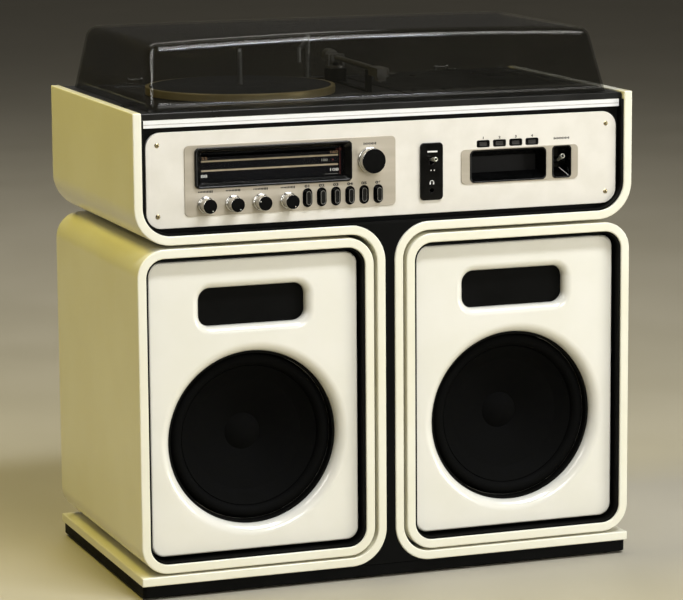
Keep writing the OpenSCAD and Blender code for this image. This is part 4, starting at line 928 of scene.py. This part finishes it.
# Champagne-anodised aluminium: the pale gold line that shows through the cover
champagne = finish_of(
    "champagne_anodised_rim", ("#CDB77C", "#D8C48D"), patch=30, rough=0.3, drift=0.05, grain=0.8,
    relief=0.004, Metallic=0.35)
platter = lathe("platter_pressing", (hub_x, hub_y, 0), [
    (4.05, platter_low), (12, platter_low), (12, platter_top - 3.5), (platter_r - rim_t, platter_top - 3.5),
    (platter_r - rim_t, platter_low), (platter_r - 0.3, platter_low), (platter_r, platter_low + 0.6),
    (platter_r, platter_top - 1.2), (platter_r - 0.4, platter_top - 0.3), (platter_r - 1.2, platter_top),
    (platter_r - 5.5, platter_top), (platter_r - 6, platter_top - 0.8), (4.05, platter_top - 0.8)],
    axis="z", n=128, along=True)
fit(platter, champagne, "platter", "platter_metal", "platter")
mat_r, mat_pitch = platter_r - 6.3, 6.0
ribs = [(r, platter_top + 0.7 + 0.35 * math.cos(r * 2 * math.pi / mat_pitch))
        for r in np.arange(48, mat_r - 3, 1.0)]
mat_profile = ([(4.4, platter_top - 0.8), (4.4, platter_top + 0.6), (45, platter_top + 0.6)] + ribs
               + [(mat_r - 1, platter_top + 0.6), (mat_r, platter_top), (mat_r, platter_top - 0.8)])
rubber_mat = lathe("rubber_mat", (hub_x, hub_y, 0), mat_profile, axis="z", n=96, along=True)
fit(rubber_mat, moulded_rubber, "platter", "rubber")
carry(zinc_steel, "spindle", "overarm")
softened("tonearm_base", black_flap, 0.5, "stand", "black_satin")
# Grey-anodised aluminium of the pickup arm: dull, a shade warmer than steel
grey_anodised = finish_of(
    "grey_anodised_aluminium", ("#7A776F", "#918E86"), patch=12, rough=0.38, grain=0.6, relief=0.006,
    Metallic=0.6)
softened("tonearm", grey_anodised, 0.4, "tonearm", "bright_trim")
softened("tonearm_gimbal", grey_anodised, 0.3, "arm_yoke", "bright_trim")

# Cover: one vacuum-formed shell of smoked acrylic, with drafted sides, a rolled top edge and a crown
# that is highest in front
(x0, lid_front, lid_low), (lid_w, y1, z1) = box_of("lid")
lid_back, lid_edge_r = depth - 12.0, 16.0
lid_mid, lid_d = (lid_front + lid_back) / 2, (lid_back - lid_front) / 2
lid_h, lid_roll, lid_rise, lid_crown, lid_t = 92.9, 20.0, 1.0, 7.0, 3.0
in_x, in_front, in_back = 29.0, 50.0, 48.0
core_w = lid_w - in_x
core_y0, core_y1 = lid_front + in_front, lid_back - in_back
core_mid, core_d = (core_y0 + core_y1) / 2, (core_y1 - core_y0) / 2


def crown(x, y):
    """Height of the rolled edge's middle: parabolas in x at the front and back, straight between them."""
    t = np.clip((y - core_y0) / (core_y1 - core_y0), 0, 1)
    bow = 1 - np.clip(x / core_w, -1, 1) ** 2
    return lid_low + lid_h - lid_roll + (1 - t) * lid_crown * bow + t * (lid_rise + bow)


def brim(w, d, r, n=8, m=32):
    """Rounded rectangle with m points (1 - t) a + t b on each straight side, from corner a to corner b."""
    corners = outline(w, d, r, n).reshape(4, n + 1, 2)
    t = np.linspace(0, 1, m + 2)[1:-1, None]
    sides = corners[:, -1][:, None] * (1 - t) + np.roll(corners[:, 0], -1, 0)[:, None] * t
    return np.concatenate([corners, sides], 1).reshape(-1, 2)


# Each point of the core has its way outward, how far the foot stands off and the angle at which the
# straight wall meets the roll
core = brim(core_w, core_d, 1e-4) + (0, core_mid)
away = brim(2, 2, 1) - brim(1, 1, 0)
inset_y = np.where(away[:, 1] < 0, in_front, in_back)
inset = np.abs(away[:, 0]) * (in_x - lid_edge_r) + np.abs(away[:, 1]) * (inset_y - lid_edge_r) + lid_edge_r
wall_h = crown(*core.T) - lid_low
tangent = np.arctan2(inset, wall_h) - np.arcsin(lid_roll / np.hypot(inset, wall_h))


def edge_ring(t, share=1.0):
    """Ring at t of the way up the roll: core + r away cos a, crown + r sin a, where a goes from tangent
    to a right angle; share scales the ring towards the middle."""
    a = tangent + (math.pi / 2 - tangent) * t
    flat = (core - (0, core_mid)) * share + (0, core_mid)
    plan = flat + away * (lid_roll * np.cos(a))[:, None]
    return np.stack([plan[:, 0], plan[:, 1], crown(*flat.T) + lid_roll * np.sin(a)], -1)


foot = np.insert(brim(lid_w, lid_d, lid_edge_r) + (0, lid_mid), 2, lid_low, 1)
roll_edge = [edge_ring(t) for t in np.linspace(0, 1, 13)]
wall_rings = [foot + (roll_edge[0] - foot) * t for t in np.linspace(0, 1, 7)[:-1]]
top_rings = [edge_ring(1.0, share) for share in np.linspace(1, 0, 14)[1:-1]]
lid_rings = np.stack(wall_rings + roll_edge + top_rings)
rows, cols = lid_rings.shape[:2]
lid_faces = grid_faces(rows, cols, False, False) + [list(range((rows - 1) * cols, rows * cols))]
# Smoked acrylic: a grey-olive tint that darkens where the wall is seen edge-on, and a hard shine
smoked_acrylic = finish_of(
    "smoked_acrylic", ("#14130F", "#1A1914"), patch=150, rough=0.07, drift=0.03, grain=40, relief=0.01,
    Alpha=0.42, Specular_IOR_Level=0.36)
lid = solid("smoked_cover", lid_rings.reshape(-1, 3), lid_faces, 60)
wall = lid.modifiers.new("wall", "SOLIDIFY")
wall.thickness, wall.offset = lid_t / 1000, -1.0
fit(lid, smoked_acrylic, "lid", "smoked", "lid")
carry(zinc_steel, "lid_hinges")

low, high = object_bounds()
